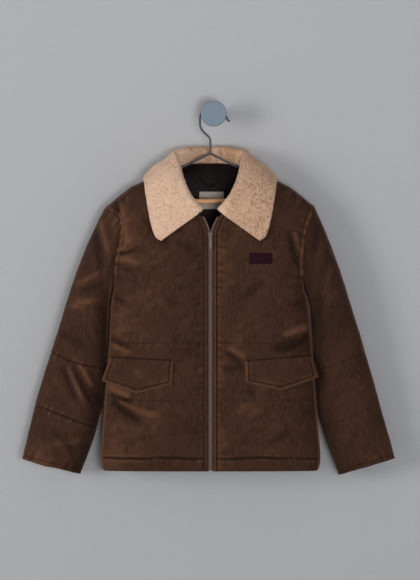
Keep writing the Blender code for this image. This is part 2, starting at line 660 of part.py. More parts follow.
def collar_line(side, t):
    """Middle line of the collar at a station: neck seam, stand, round fold, then the fall to its outer edge."""
    read = {name: smooth(COLLAR, "t", name, t) for name in Collar._fields[1:]}
    face = "front" if t <= COLLAR_SHOULDER else "back"
    middle = neck_middle(side, face, read["neck_t"])
    away = neck_outward(side, face, read["neck_t"])
    rise = Vector((read["rise_x"], read["rise_y"], read["rise_z"])).normalized()
    lean = math.sqrt(max(1 - rise.dot(away) ** 2, 0.0))
    gap = COLLAR_NECK_GAP + COLLAR_SHOULDER_GAP * read["neck_t"] ** 4
    neck = middle + away * (gap + COLLAR_WALL / 2 * lean)
    stand = neck + rise * read["stand"]
    start_s = way_from_ridge(middle.x, middle.z, face)
    lift = COLLAR_LIFT + COLLAR_WALL / 2
    fall = []
    for u in COLLAR_FALL:
        x = middle.x + (read["edge_x"] - middle.x) * u
        s = start_s + (read["edge_s"] - start_s) * u
        bridge = read["bridge"] * (1 - u * u)
        fall.append(over_body(side, x, s, lift + bridge))
    over = fall[0] - stand
    over -= rise * over.dot(rise)
    radius = min(max(over.length / 2, COLLAR_FOLD_MIN), COLLAR_FOLD_MAX)
    over.normalize()
    fold = []
    for degrees in COLLAR_TURN:
        angle = math.radians(degrees)
        fold.append(stand + rise * radius * math.sin(angle) + over * radius * (1 - math.cos(angle)))
    return [Vector((CENTRE_X + SIGN[side] * p.x, p.y, p.z)) for p in [neck, stand] + fold + fall]


def thicken(middle, thick):
    """Two grids of points on both sides of a grid, square to it."""
    rows, columns = len(middle), len(middle[0])
    above, below = [], []
    for i in range(rows):
        high, low = [], []
        for k in range(columns):
            along = middle[min(i + 1, rows - 1)][k] - middle[max(i - 1, 0)][k]
            across = middle[i][min(k + 1, columns - 1)] - middle[i][max(k - 1, 0)]
            normal = along.cross(across).normalized()
            high.append(middle[i][k] + normal * thick / 2)
            low.append(middle[i][k] - normal * thick / 2)
        above.append(high)
        below.append(low)
    return above, below


def make_collar():
    last = COLLAR[-1].t
    stations = [last * i / (COLLAR_STATIONS - 1) for i in range(COLLAR_STATIONS)]
    middle = [collar_line(RIGHT, t) for t in stations]
    middle += [collar_line(LEFT, t) for t in stations[-2::-1]]
    above, below = thicken(middle, COLLAR_WALL)
    return wall_between("collar", above, below, "pile")


# ---------------------------------------------------------------- what is sewn on
def patch_between(name, kind, place, columns, rows, gap, thick):
    """A thin piece on a panel: "place" gives the point at (u, v) moved out by a distance."""
    grids = []
    for out in (gap + thick, gap):
        grids.append([[place(c / columns, r / rows, out) for c in range(columns + 1)] for r in range(rows + 1)])
    return wall_between(name, grids[0], grids[1], kind)


def flap_place(side, u, v, out):
    """A point of the flap: u from its outer to its inner edge, v from its top to its lower edge."""
    corner = {name: Vector((getattr(c, side + "_x"), getattr(c, side + "_z"))) for name, c in FLAP.items()}
    top = corner["top_outer"].lerp(corner["top_inner"], u)
    if u < 0.5:
        low = corner["low_outer"].lerp(corner["point"], u / 0.5)
    else:
        low = corner["point"].lerp(corner["low_inner"], (u - 0.5) / 0.5)
    x, z = top.lerp(low, v)
    wider = FLAP_FLARE * (FLAP_FLARE_TOP + (1 - FLAP_FLARE_TOP) * v)
    flared = cloth_depth(side, "front", x, z, wider=wider) + PUFF
    close = cloth_depth(side, "front", x, z) + relief(side, "front", x, z)
    depth = max(flared, close) + out
    return Vector((CENTRE_X + SIGN[side] * x, CENTRE_Y - depth, z))


def make_flap(side):
    def place(u, v, out):
        border = min(u, 1 - u, v, 1 - v)
        if out > SEAM:
            out -= FLAP_THICK * FLAP_THIN * (1 - fade(border, 0.0, FLAP_BORDER))
        return flap_place(side, u, v, out)

    return patch_between("flap_" + side, "corduroy", place, 10, 6, SEAM, FLAP_THICK)


def make_patch():
    def place(u, v, out):
        x = PATCH["x"] + (u - 0.5) * PATCH["width"]
        z = PATCH["z"] + (0.5 - v) * PATCH["height"]
        return surface(LEFT, "front", x, z, out)

    return patch_between("chest_patch", "patch", place, 4, 2, SEAM, PATCH["thick"])


def make_label():
    def place(u, v, out):
        x = LABEL["x"] + (u - 0.5) * LABEL["width"]
        z = LABEL["z"] + (0.5 - v) * LABEL["height"]
        point = lining(LEFT, "back", abs(x), z, out)
        return Vector((CENTRE_X + x, point.y, point.z))

    return patch_between("neck_label", "label", place, 4, 3, LINING_CLEAR, LABEL["thick"])


def make_loop():
    def place(u, v, out):
        x = (2 * u - 1) * LOOP["half"]
        z = LOOP["z"] - LOOP["sag"] * (1 - (2 * u - 1) ** 2) + (0.5 - v) * LOOP["width"]
        point = lining(LEFT, "back", abs(x), z, out + LOOP["slack"] * (1 - (2 * u - 1) ** 2))
        return Vector((CENTRE_X + x, point.y, point.z))

    return patch_between("hang_loop", "loop", place, 10, 1, LINING_CLEAR, LOOP["thick"])


# ---------------------------------------------------------------- zip
def make_zip(side):
    """Tape edge and teeth of one side, recessed between the folded edges of the fronts."""
    heights = [ZIP_FOOT_Z + (ZIP_OPEN_Z - ZIP_FOOT_Z) * k / 12 for k in range(12)]
    heights += [ZIP_OPEN_Z + (ZIP_HEAD_Z - ZIP_OPEN_Z) * k / 5 for k in range(6)]
    grids = []
    for recess in (ZIP_RECESS, ZIP_RECESS + ZIP_THICK):
        grid = []
        for z in heights:
            outer_x = zip_edge(z) - SEAM
            inner_x = zip_edge(z) - ZIP_EDGE_X + SEAM / 2
            depth = cloth_depth(side, "front", inner_x, z) - recess
            row = [Vector((CENTRE_X + SIGN[side] * x, CENTRE_Y - depth, z)) for x in (inner_x, outer_x)]
            grid.append(row)
        grids.append(grid)
    return wall_between("zip_" + side, grids[0], grids[1], "zip")


def extrude_outline(bm, outline, axis, low, high):
    """A closed prism: the outline's two numbers fill the axes other than "axis"."""
    others = [k for k in (0, 1, 2) if k != axis]
    rings = []
    for at in (low, high):
        ring = []
        for pair in outline:
            place = [0.0, 0.0, 0.0]
            place[axis] = at
            place[others[0]], place[others[1]] = pair
            ring.append(bm.verts.new(place))
        rings.append(ring)
    count = len(outline)
    for k in range(count):
        m = (k + 1) % count
        bm.faces.new((rings[0][k], rings[0][m], rings[1][m], rings[1][k]))
    bm.faces.new(rings[0])
    bm.faces.new(rings[1])


def slider_face():
    """Y of the slider's face and height of the tab's hinge axis."""
    deepest = cloth_depth(LEFT, "front", 0.0, SLIDER_TOP_Z - SLIDER_LENGTH)
    chain = CENTRE_Y - deepest + ZIP_RECESS
    return chain - SEAM - SLIDER_THICK, SLIDER_TOP_Z - PIVOT_DROP


def join_solids(thing, tool):
    """Union of two closed objects by a Boolean, applied."""
    union = thing.modifiers.new("union", "BOOLEAN")
    union.operation = "UNION"
    union.object = tool
    deps = bpy.context.evaluated_depsgraph_get()
    mesh = bpy.data.meshes.new_from_object(thing.evaluated_get(deps))
    thing.modifiers.clear()
    thing.data = mesh
    bpy.data.objects.remove(tool, do_unlink=True)
    return thing


def make_slider():
    face_y, axis_z = slider_face()
    top, low = SLIDER_TOP_Z, SLIDER_TOP_Z - SLIDER_LENGTH
    half = SLIDER_HALF
    shape = [
        (-0.72 * half, low), (0.72 * half, low), (0.80 * half, low + 0.35 * SLIDER_LENGTH),
        (half, low + 0.65 * SLIDER_LENGTH), (half, top - 0.12 * SLIDER_LENGTH), (0.70 * half, top),
        (-0.70 * half, top), (-half, top - 0.12 * SLIDER_LENGTH), (-half, low + 0.65 * SLIDER_LENGTH),
        (-0.80 * half, low + 0.35 * SLIDER_LENGTH),
    ]
    bm = bmesh.new()
    extrude_outline(bm, [(CENTRE_X + x, z) for x, z in shape], 1, face_y, face_y + SLIDER_THICK)
    bmesh.ops.recalc_face_normals(bm, faces=bm.faces)
    rims = [e for e in bm.edges if all(abs(v.co.y - face_y) < 1e-6 for v in e.verts)]
    bmesh.ops.bevel(bm, geom=rims, offset=0.0008, segments=2, affect="EDGES", profile=0.5)
    body = finish_object("zip_slider", bm, "metal", 35.0)
    inside = face_y + 0.0004
    out, bar = face_y - ARCH["out"], face_y - ARCH["out"] + 0.0012
    reach, window = ARCH["reach"], ARCH["window"]
    bridge = [
        (inside, axis_z + reach), (out + 0.0008, axis_z + reach), (out, axis_z + reach - 0.0008),
        (out, axis_z - reach + 0.0008), (out + 0.0008, axis_z - reach), (inside, axis_z - reach),
        (inside, axis_z - window), (bar, axis_z - window), (bar, axis_z + window), (inside, axis_z + window),
    ]
    bm = bmesh.new()
    extrude_outline(bm, bridge, 0, CENTRE_X - ARCH["half"], CENTRE_X + ARCH["half"])
    arch = finish_object("zip_arch", bm, "metal", 35.0)
    return join_solids(body, arch)


def make_tab():
    """Pull tab: a plate with an eye whose top bar turns inside the slider's arch."""
    face_y, axis_z = slider_face()
    eye, half = TAB_EYE, TAB_HALF
    y = face_y - PIVOT_OUT
    top, low = TAB_EYE["top"], -TAB_LENGTH
    outline = [(0.6 * half, top), (0.86 * half, top - 0.0006), (0.86 * half, -0.0070), (half, -0.0100)]
    outline += [(half, low + 0.0030), (0.80 * half, low + 0.0008), (0.45 * half, low)]
    ring = outline + [(-x, z) for x, z in reversed(outline)]
    window = [(eye["half"], -eye["top"]), (eye["half"], -eye["bottom"])]
    window += [(-eye["half"], -eye["bottom"]), (-eye["half"], -eye["top"])]
    bm = bmesh.new()
    extrude_outline(bm, [(x, z) for x, z in ring], 1, -TAB_THICK / 2, TAB_THICK / 2)
    plate = finish_object("zip_pull", bm, "metal", 35.0)
    bm = bmesh.new()
    extrude_outline(bm, window, 1, -TAB_THICK, TAB_THICK)
    cutter = finish_object("tab_eye", bm, "metal")
    cut = plate.modifiers.new("eye", "BOOLEAN")
    cut.operation = "DIFFERENCE"
    cut.object = cutter
    deps = bpy.context.evaluated_depsgraph_get()
    mesh = bpy.data.meshes.new_from_object(plate.evaluated_get(deps))
    plate.modifiers.clear()
    plate.data = mesh
    bpy.data.objects.remove(cutter, do_unlink=True)
    plate.location = (CENTRE_X, y, axis_z)
    return plate


# ---------------------------------------------------------------- hanger and knob
def make_hanger_frame():
    """One wire: out of the bar's end, round the shoulder end, up the arm, over the apex and down again."""
    lean = math.atan(ARM_SLOPE)
    bend = (APEX_Z - ARM_SLOPE * ARM_END_X - BAR_Z) / (1 + math.cos(lean) + ARM_SLOPE * math.sin(lean))
    turn = 90 - math.degrees(lean)
    half = [Vector((BAR_HALF + SEAM, CENTRE_Y, BAR_Z))]
    half += arc((ARM_END_X, BAR_Z + bend), bend, -90, turn, 8, CENTRE_Y)
    apex = (0.0, APEX_Z - APEX_ROUND / math.cos(lean))
    half += arc(apex, APEX_ROUND, turn, 90, 3, CENTRE_Y)
    path = half + [Vector((-p.x, p.y, p.z)) for p in reversed(half[:-1])]
    return tube("hanger_frame", [p + Vector((CENTRE_X, 0, 0)) for p in path], WIRE_R, "wire")


def make_hanger_hook():
    apex_top = APEX_Z - APEX_ROUND / math.cos(math.atan(ARM_SLOPE)) + APEX_ROUND + WIRE_R
    path = [Vector((CENTRE_X, CENTRE_Y, apex_top + SEAM))]
    path += [Vector((CENTRE_X + x, CENTRE_Y, z)) for x, z in HOOK_STEM]
    path += arc(HOOK_CENTRE, HOOK_R, *HOOK_ARC, CENTRE_Y)
    path += [Vector((x, CENTRE_Y, z)) for x, z in HOOK_TIP]
    return tube("hanger_hook", path, WIRE_R, "wire")


def make_bar():
    path = [Vector((CENTRE_X + x, CENTRE_Y, BAR_Z)) for x in (-BAR_HALF, BAR_HALF)]
    return tube("hanger_bar", path, BAR_R, "wood", 20)


def make_knob():
    """Turned disc on a stem, its axis square to the wall."""
    rim = KNOB_RIM
    profile = [
        (KNOB_STEM_R, 0.0), (KNOB_STEM_R, KNOB_BACK_Y), (KNOB_R - rim, KNOB_BACK_Y),
        (KNOB_R, KNOB_BACK_Y - rim), (KNOB_R, KNOB_FRONT_Y + rim), (KNOB_R - 0.3 * rim, KNOB_FRONT_Y + 0.3 * rim),
        (KNOB_R - rim, KNOB_FRONT_Y),
    ]
    sides = KNOB_SIDES
    bm = bmesh.new()
    rings = []
    for radius, y in profile:
        ring = []
        for k in range(sides):
            angle = 2 * math.pi * k / sides
            ring.append(bm.verts.new((radius * math.cos(angle), y, radius * math.sin(angle))))
        rings.append(ring)
    for low, high in zip(rings, rings[1:]):
        for k in range(sides):
            m = (k + 1) % sides
            bm.faces.new((low[k], low[m], high[m], high[k]))
    bm.faces.new(rings[0])
    bm.faces.new(rings[-1])
    return finish_object("wall_knob", bm, "knob", 40.0)


# ---------------------------------------------------------------- everything
def clear_scene():
    for thing in list(bpy.data.objects):
        bpy.data.objects.remove(thing, do_unlink=True)


def main():
    clear_scene()
    for side in (RIGHT, LEFT):
        make_front(side)
        make_sleeve(side)
        make_flap(side)
        make_zip(side)
    make_back()
    make_collar()
    make_patch()
    make_label()
    make_loop()
    make_slider()
    make_tab()
    make_hanger_frame()
    make_hanger_hook()
    make_bar()
    make_knob()


main()
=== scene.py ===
"""Child's corduroy jacket with a curly pile collar, on a wire hanger at a round wall knob.

Metres, +Z up, the wall at Y = 0 and the jacket in front of it. "Right" and "left" are the wearer's.
Every panel is the same form as its solid, worked out from the same sizes on a finer grid, with the creases,
gathers, stitching and pile that a solid leaves out.
"""
import math
import random

import bmesh
import bpy
import numpy as np
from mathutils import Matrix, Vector, noise
from mathutils.bvhtree import BVHTree

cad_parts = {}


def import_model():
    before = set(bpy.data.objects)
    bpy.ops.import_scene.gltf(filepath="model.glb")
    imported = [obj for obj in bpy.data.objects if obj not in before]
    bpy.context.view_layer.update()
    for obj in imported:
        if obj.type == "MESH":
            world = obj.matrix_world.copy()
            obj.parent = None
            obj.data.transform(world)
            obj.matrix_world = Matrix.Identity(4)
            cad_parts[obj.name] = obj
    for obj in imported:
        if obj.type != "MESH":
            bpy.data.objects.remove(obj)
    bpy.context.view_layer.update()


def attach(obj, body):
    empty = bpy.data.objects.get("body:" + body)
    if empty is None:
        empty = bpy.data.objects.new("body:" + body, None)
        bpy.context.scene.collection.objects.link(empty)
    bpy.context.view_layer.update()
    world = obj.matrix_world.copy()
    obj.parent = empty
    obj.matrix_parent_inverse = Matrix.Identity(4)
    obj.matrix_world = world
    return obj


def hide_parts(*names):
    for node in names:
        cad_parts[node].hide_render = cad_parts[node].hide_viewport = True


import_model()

# ---------------------------------------------------------------- sizes shared with the solids (metres)
CENTRE_X = -0.0065
CENTRE_Y = -0.050
SEAM = 0.0003
WALL = 0.006
ROUNDNESS = 2.6
SHOULDER_ROUND = 0.070
HEM_Z = -0.6785
UNDERARM_Z = -0.3304
NECK_X = 0.074
NECK_Z = -0.1036
SHOULDER_SLOPE = 0.46
DROOP_X = 0.150
DROOP_SLOPE = 0.80
ZIP_EDGE_X = 0.0045
ZIP_OPEN_Z = -0.2280
ZIP_TOP_Z = -0.1905
ZIP_SPREAD = 0.0160
ZIP_CURVE = 1.3               # exponent of that spread
PUFF = 0.0035
FULLNESS = 0.6                # exponent of the puff's section, 1 is a parabola
QUIET = 0.030                 # the puffs fade out this close to a side or shoulder seam
QUILT_Z = (-0.6534, -0.5440, -0.4353, -0.3304, -0.2230, -0.1150)
STITCH_X = 0.0100
STITCH_DEPTH = 0.0015
STITCH_WIDTH = 0.0030
ZIP_FLAT = 0.018              # width over which the puffs rise beside the zip
HEM_TURN = {"outer": 0.0022, "inner": 0.0018}
HEM_ROUND = 0.005             # height over which the hem's edge turns in
NECK_BEND = 1.8               # how the back's columns crowd towards the side neck point
NECK_ROW = 0.52
NECK_SHARE = 0.38           # share of the back's width that its neckline takes
UPPER_ROWS = (0.0, 0.18, 0.36, 0.52, 0.66, 0.78, 0.875, 0.945, 0.985, 1.0)
SIGN = {"right": -1.0, "left": 1.0}
FORWARD = {"front": -1.0, "back": 1.0}

GIRTH = {
    "z": (-.6785, -.6534, -.5950, -.5140, -.4300, -.3865, -.3520, -.3304, -.3100, -.2900, -.2500, -.2000,
          -.1780, -.0600),
    "right": (.2050, .2085, .2050, .1993, .1936, .1915, .1890, .1856, .1900, .1960, .2000,
              .2100, .2280, .2500),
    "left": (.2060, .2095, .2050, .1993, .1925, .1890, .1845, .1780, .1850, .1930, .2010,
             .2120, .2280, .2500),
}
DEPTH = {
    "z": (-.6785, -.6200, -.5000, -.3300, -.2000, -.0600),
    "front": (.0480, .0530, .0580, .0600, .0580, .0560),
    "back": (.0360, .0390, .0410, .0420, .0420, .0400),
}
ARMHOLE = {
    "t": (0.0, .30, .55, .76, .90, 1.0),
    "right_x": (.1856, .1815, .1725, .1690, .1755, .1993),
    "right_z": (-.3304, -.2839, -.2478, -.2150, -.1945, -.1780),
    "left_x": (.1780, .1752, .1765, .1805, .1880, .1978),
    "left_z": (-.3304, -.2877, -.2570, -.2270, -.2010, -.1768),
}
NECKLINE = {
    "t": (0.0, .35, .70, 1.0),
    "front_x": (.0205, .0475, .0650, .0740),
    "front_z": (-.1905, -.1640, -.1290, -.1036),
    "back_x": (.0000, .0260, .0510, .0740),
    "back_z": (-.0950, -.0952, -.0975, -.1036),
}
SLEEVE = {
    "right": {
        "t": (0.0, 1.0, 2.0, 3.0),
        "outer_x": (.2735, .3035, .3338, .3575), "outer_z": (-.3580, -.4545, -.5545, -.6560),
        "inner_x": (.1935, .1998, .2155, .2475), "inner_z": (-.3750, -.4890, -.5960, -.6850),
        "half_depth": (.0400, .0385, .0360, .0310), "y": (-.0475, -.0440, -.0420, -.0410),
    },
    "left": {
        "t": (0.0, 1.0, 2.0, 3.0),
        "outer_x": (.2660, .2955, .3235, .3515), "outer_z": (-.3580, -.4545, -.5545, -.6550),
        "inner_x": (.1915, .2000, .2130, .2440), "inner_z": (-.3760, -.4900, -.5960, -.6865),
        "half_depth": (.0400, .0385, .0360, .0310), "y": (-.0475, -.0440, -.0420, -.0410),
    },
}
SLEEVE_ROUNDNESS = 2.3
SLEEVE_PUFF = 0.0032
SLEEVE_START = {"right": (0.51, 0.0, -0.86), "left": (0.43, 0.0, -0.90)}
SLEEVE_UNDER = (0.30, 0.0, -0.95)           # at the underarm the cloth hangs closer to the side
CUFF_STITCH = 0.075
COLLAR = {
    "t": (0.0, 1.0, 2.0, 3.0, 4.0, 5.0, 6.0, 7.0, 8.0),
    "neck_t": (.00, .12, .35, .62, .85, 1.0, .72, .36, .00),
    "rise_x": (-.70, -.73, -.78, -.80, -.60, -.18, -.06, .00, .00),
    "rise_y": (-.25, -.20, -.10, .00, .00, .00, -.10, -.05, .00),
    "rise_z": (.65, .65, .62, .60, .80, .98, .99, 1.0, 1.0),
    "stand": (.0020, .0030, .0050, .0060, .0110, .0215, .0215, .0225, .0225),
    "edge_x": (.0930, .1050, .1140, .1195, .1222, .1228, .1000, .0520, .0000),
    "edge_s": (-.1700, -.1550, -.1214, -.0830, -.0500, .0000, .0600, .0950, .1080),
    "bridge": (.0000, .0010, .0028, .0048, .0100, .0150, .0130, .0080, .0060),
}
COLLAR_SHOULDER = 5.0
COLLAR_WALL = 0.0060
COLLAR_LIFT = 0.0012
COLLAR_FALL = (0.10, 0.35, 0.67, 1.0)
COLLAR_FOLD = (0.0050, 0.0065)
COLLAR_NECK_GAP = 0.0010
COLLAR_SHOULDER_GAP = 0.0022
FLAP = {
    "right": {"top_outer": (.1890, -.4610), "top_inner": (.0697, -.4670), "low_inner": (.0725, -.5132),
              "point": (.1387, -.5308), "low_outer": (.2065, -.5062)},
    "left": {"top_outer": (.1930, -.4590), "top_inner": (.0656, -.4676), "low_inner": (.0669, -.5090),
             "point": (.1340, -.5252), "low_outer": (.2050, -.5000)},
}
FLAP_THICK = 0.0042
FLAP_FLARE = 0.022
FLAP_STITCH = 0.0072         # row of stitches inside the flap's edge
PATCH = {"x": 0.0955, "z": -0.2755, "width": 0.0430, "height": 0.0210, "thick": 0.0012}
LABEL = {"x": 0.0022, "z": -0.1640, "width": 0.0470, "height": 0.0333, "thick": 0.0007}
LOOP = {"half": 0.0210, "z": -0.1195, "sag": 0.0170, "width": 0.0040, "thick": 0.0014}
ZIP_FOOT_Z = -0.6770
ZIP_HEAD_Z = -0.1960

# large folds of the solids: a soft ridge (height > 0) or trough along a line, half widths and heights
FOLDS = {
    ("right", "front"): [
        (.166, -.272, .128, -.236, .011, .0040), (.160, -.255, .118, -.262, .012, -.0030),
        (.171, -.190, .160, -.245, .012, .0035), (.190, -.545, .125, -.588, .013, -.0040),
        (.195, -.530, .150, -.545, .012, .0030),
    ],
    ("left", "front"): [
        (.188, -.422, .122, -.446, .012, -.0040), (.185, -.405, .140, -.425, .013, .0030),
        (.150, -.235, .163, -.285, .012, -.0030),
    ],
    ("right", "back"): [(.165, -.250, .120, -.300, .014, -.0030), (.190, -.420, .120, -.460, .014, -.0030)],
    ("left", "back"): [(.165, -.250, .125, -.295, .014, -.0030), (.185, -.560, .110, -.600, .014, -.0030)],
}
# smaller creases, on the cloth alone
CREASES = {
    ("right", "front"): [
        (.176, -.262, .150, -.238, .0040, .0016), (.172, -.268, .140, -.258, .0035, -.0014),
        (.174, -.275, .134, -.284, .0045, .0012), (.178, -.290, .150, -.300, .0040, -.0010),
        (.178, -.176, .170, -.232, .0045, -.0016), (.168, -.180, .158, -.236, .0050, .0014),
        (.190, -.343, .162, -.360, .0045, -.0018), (.192, -.426, .151, -.445, .0045, -.0017),
        (.190, -.436, .150, -.454, .0060, .0010), (.1975, -.514, .157, -.534, .0065, .0022),
        (.192, -.534, .151, -.547, .0035, -.0022), (.176, -.545, .150, -.556, .0045, .0012),
        (.183, -.547, .165, -.564, .0045, -.0030), (.165, -.564, .138, -.580, .0050, -.0024),
        (.150, -.560, .096, -.575, .0060, .0010), (.090, -.345, .060, -.362, .0070, -.0008),
        (.120, -.205, .080, -.250, .0080, -.0010), (.060, -.245, .030, -.262, .0070, -.0008),
    ],
    ("left", "front"): [
        (.179, -.432, .140, -.450, .0038, -.0024), (.173, -.432, .115, -.448, .0050, -.0014),
        (.190, -.415, .178, -.426, .0040, -.0022), (.186, -.404, .140, -.420, .0060, .0012),
        (.030, -.453, .059, -.472, .0048, -.0020), (.040, -.447, .064, -.462, .0050, .0010),
        (.030, -.485, .062, -.480, .0060, -.0015),
        (.073, -.523, .079, -.540, .0045, -.0012), (.150, -.232, .164, -.284, .0050, -.0015),
        (.160, -.226, .172, -.270, .0045, .0012), (.180, -.352, .150, -.366, .0050, -.0010),
        (.100, -.320, .060, -.350, .0080, -.0008), (.150, -.600, .110, -.628, .0080, -.0010),
    ],
    ("right", "back"): [
        (.168, -.250, .120, -.302, .0050, -.0018), (.160, -.232, .125, -.262, .0060, .0012),
        (.190, -.420, .118, -.462, .0050, -.0018), (.140, -.560, .080, -.590, .0070, -.0010),
        (.060, -.200, .040, -.280, .0090, -.0010),
    ],
    ("left", "back"): [
        (.168, -.248, .124, -.296, .0050, -.0018), (.186, -.560, .108, -.602, .0050, -.0018),
        (.150, -.360, .100, -.385, .0070, -.0010), (.080, -.470, .030, -.500, .0080, -.0010),
        (.050, -.190, .070, -.260, .0090, .0008),
    ],
}
SLEEVE_CREASES = {
    ("right", "front"): [
        (.280, -.484, .256, -.542, .0042, -.0020), (.268, -.482, .244, -.542, .0045, .0020),
        (.259, -.484, .223, -.550, .0050, -.0027), (.248, -.478, .217, -.530, .0048, .0018),
        (.223, -.522, .204, -.560, .0050, -.0020),
        (.250, -.322, .205, -.300, .0060, .0013), (.245, -.338, .202, -.322, .0060, -.0013),
        (.262, -.365, .212, -.352, .0060, .0014), (.300, -.600, .262, -.640, .0060, -.0014),
        (.222, -.218, .206, -.300, .0070, -.0020), (.208, -.205, .196, -.262, .0060, .0016),
        (.292, -.412, .240, -.440, .0070, -.0012), (.240, -.620, .300, -.628, .0070, .0010),
    ],
    ("left", "front"): [
        (.214, -.342, .201, -.405, .0080, -.0012), (.226, -.300, .212, -.360, .0080, .0008),
        (.250, -.470, .232, -.540, .0080, -.0006), (.280, -.590, .255, -.640, .0070, -.0006),
        (.205, -.215, .196, -.262, .0060, -.0012), (.218, -.225, .206, -.290, .0070, .0008),
        (.290, -.500, .250, -.520, .0080, .0006),
    ],
    ("right", "back"): [
        (.275, -.470, .225, -.520, .0060, -.0022), (.240, -.300, .200, -.340, .0060, .0020),
        (.260, -.350, .210, -.385, .0060, -.0018), (.320, -.580, .260, -.620, .0070, -.0014),
        (.225, -.230, .206, -.290, .0070, -.0018),
    ],
    ("left", "back"): [
        (.270, -.460, .218, -.505, .0060, -.0022), (.238, -.305, .198, -.345, .0060, .0020),
        (.258, -.355, .208, -.392, .0060, -.0018), (.310, -.575, .250, -.612, .0070, -.0014),
        (.220, -.225, .202, -.285, .0070, -.0018),
    ],
}


# ---------------------------------------------------------------- reading the tables
def curve(keys, values, at):
    """Smooth curve through a table's rows, for one place or many."""
    keys, values = np.asarray(keys, float), np.asarray(values, float)
    last = len(keys) - 1
    slopes = []
    for n in range(last + 1):
        low, high = max(n - 1, 0), min(n + 1, last)
        slopes.append((values[high] - values[low]) / (keys[high] - keys[low]))
    slopes = np.array(slopes)
    at = np.clip(np.asarray(at, float), keys[0], keys[-1])
    i = np.clip(np.searchsorted(keys, at, side="right") - 1, 0, last - 1)
    span = keys[i + 1] - keys[i]
    u = (at - keys[i]) / span
    return (
        values[i] * (1 + 2 * u) * (1 - u) ** 2 + slopes[i] * span * u * (1 - u) ** 2
        + values[i + 1] * u * u * (3 - 2 * u) + slopes[i + 1] * span * u * u * (u - 1)
    )


def row_at(table, t):
    """One row of a table, read between its own rows."""
    return {name: float(curve(table["t"], table[name], t)) for name in table if name != "t"}


def half_girth(side, z):
    return curve(GIRTH["z"], GIRTH[side], z)


def neckline(face, t, inset=0.0):
    """Half widths and heights of the neck seam."""
    return (curve(NECKLINE["t"], NECKLINE[face + "_x"], t),
            curve(NECKLINE["t"], NECKLINE[face + "_z"], t) - inset * t * t)


def armhole(side, t):
    """Half widths and heights of the armhole seam."""
    return [curve(ARMHOLE["t"], ARMHOLE[side + axis], t) for axis in ("_x", "_z")]


def fade(value, start, end):
    """0 at start, 1 at end, smooth between them."""
    u = np.clip((value - start) / (end - start), 0.0, 1.0)
    return u * u * (3 - 2 * u)


def rounded(to_edge, radius):
    """Section of a rounded edge: 0 on it, 1 from the radius inwards."""
    return np.sqrt(1 - (1 - np.clip(to_edge / radius, 0.0, 1.0)) ** 2)


def from_sides(u, v, width, height):
    """Distance to the nearest side of a rectangle, for shares u and v of its width and height."""
    return np.minimum(np.minimum(u, 1 - u) * width, np.minimum(v, 1 - v) * height)


def unit(vectors):
    """The same directions, each 1 long."""
    return vectors / np.maximum(np.linalg.norm(vectors, axis=-1, keepdims=True), 1e-12)


def way_along(points, axis=0):
    """Distance along the cloth from a grid's first row or column, or from a line's first point."""
    steps = np.linalg.norm(np.diff(points, axis=axis), axis=-1)
    first = np.zeros_like(np.take(steps, [0], axis=axis))
    return np.concatenate([first, np.cumsum(steps, axis=axis)], axis=axis)


# ---------------------------------------------------------------- the body's form
def ridge_z(x):
    """Height of the shoulder seam at distance x from the centre line."""
    near = NECK_Z - SHOULDER_SLOPE * (x - NECK_X)
    far = NECK_Z - SHOULDER_SLOPE * (DROOP_X - NECK_X) - DROOP_SLOPE * (x - DROOP_X)
    return np.where(x < DROOP_X, near, far)


def across_share(x, half):
    """Share of the full depth at x, on a section that is "half" wide."""
    return np.maximum(1 - np.minimum(np.abs(x) / half, 1.0) ** ROUNDNESS, 0.0) ** (1 / ROUNDNESS)


def cloth_depth(side, face, x, z, inset=0.0):
    """Distance of the cloth from the centre plane; inset gives the inside of the wall."""
    full = curve(DEPTH["z"], DEPTH[face], z) - inset
    below = np.clip((ridge_z(np.abs(x)) - inset - z) / SHOULDER_ROUND, 0.0, 1.0)
    return full * across_share(x, half_girth(side, z) - inset) * np.sqrt(1 - (1 - below) ** 2)


def zip_edge(z):
    """Distance of a front's zip edge from the centre line."""
    open_share = np.maximum((z - ZIP_OPEN_Z) / (ZIP_TOP_Z - ZIP_OPEN_Z), 0.0)
    return ZIP_EDGE_X + ZIP_SPREAD * open_share ** ZIP_CURVE


def inner_edge(face, z):
    """Where a half panel starts: at the zip edge in front, on the centre line behind."""
    return zip_edge(z) if face == "front" else np.zeros_like(z, dtype=float)


def puff_at(z):
    """Height of the wadding between the quilting lines."""
    lines = np.array(sorted(QUILT_Z))
    i = np.clip(np.searchsorted(lines, z) - 1, 0, len(lines) - 2)
    u = np.clip((z - lines[i]) / (lines[i + 1] - lines[i]), 0.0, 1.0)
    channel = PUFF * (4 * u * (1 - u)) ** FULLNESS
    hem = np.clip((lines[0] - z) / (lines[0] - HEM_Z), 0.0, 1.0)
    return np.where(z < lines[0], 0.6 * PUFF * np.sin(math.pi * hem ** 0.8), channel)


def line_height(folds, x, z):
    """Sum of soft ridges and troughs, each along its own line."""
    total = np.zeros(np.broadcast(x, z).shape)
    for x0, z0, x1, z1, width, height in folds:
        dx, dz = x1 - x0, z1 - z0
        along = ((x - x0) * dx + (z - z0) * dz) / (dx * dx + dz * dz)
        off = np.hypot(x - x0 - along * dx, z - z0 - along * dz)
        ends = fade(along, -0.25, 0.15) * (1 - fade(along, 0.75, 1.25))
        total += height * np.exp(-(off / width) ** 2) * ends
    return total


def relief(side, face, x, z):
    """How far the outer cloth of the solid stands off its plain form."""
    quiet = fade(half_girth(side, z) - x, 0.0, QUIET) * fade(ridge_z(x) - z, 0.0, QUIET)
    height = (puff_at(z) + line_height(FOLDS[side, face], x, z)) * quiet
    if face == "front":
        from_zip = x - zip_edge(z)
        height = height * fade(from_zip, STITCH_X, STITCH_X + ZIP_FLAT)
        height = height - STITCH_DEPTH * seam_dip(from_zip - STITCH_X, STITCH_WIDTH)
    return height


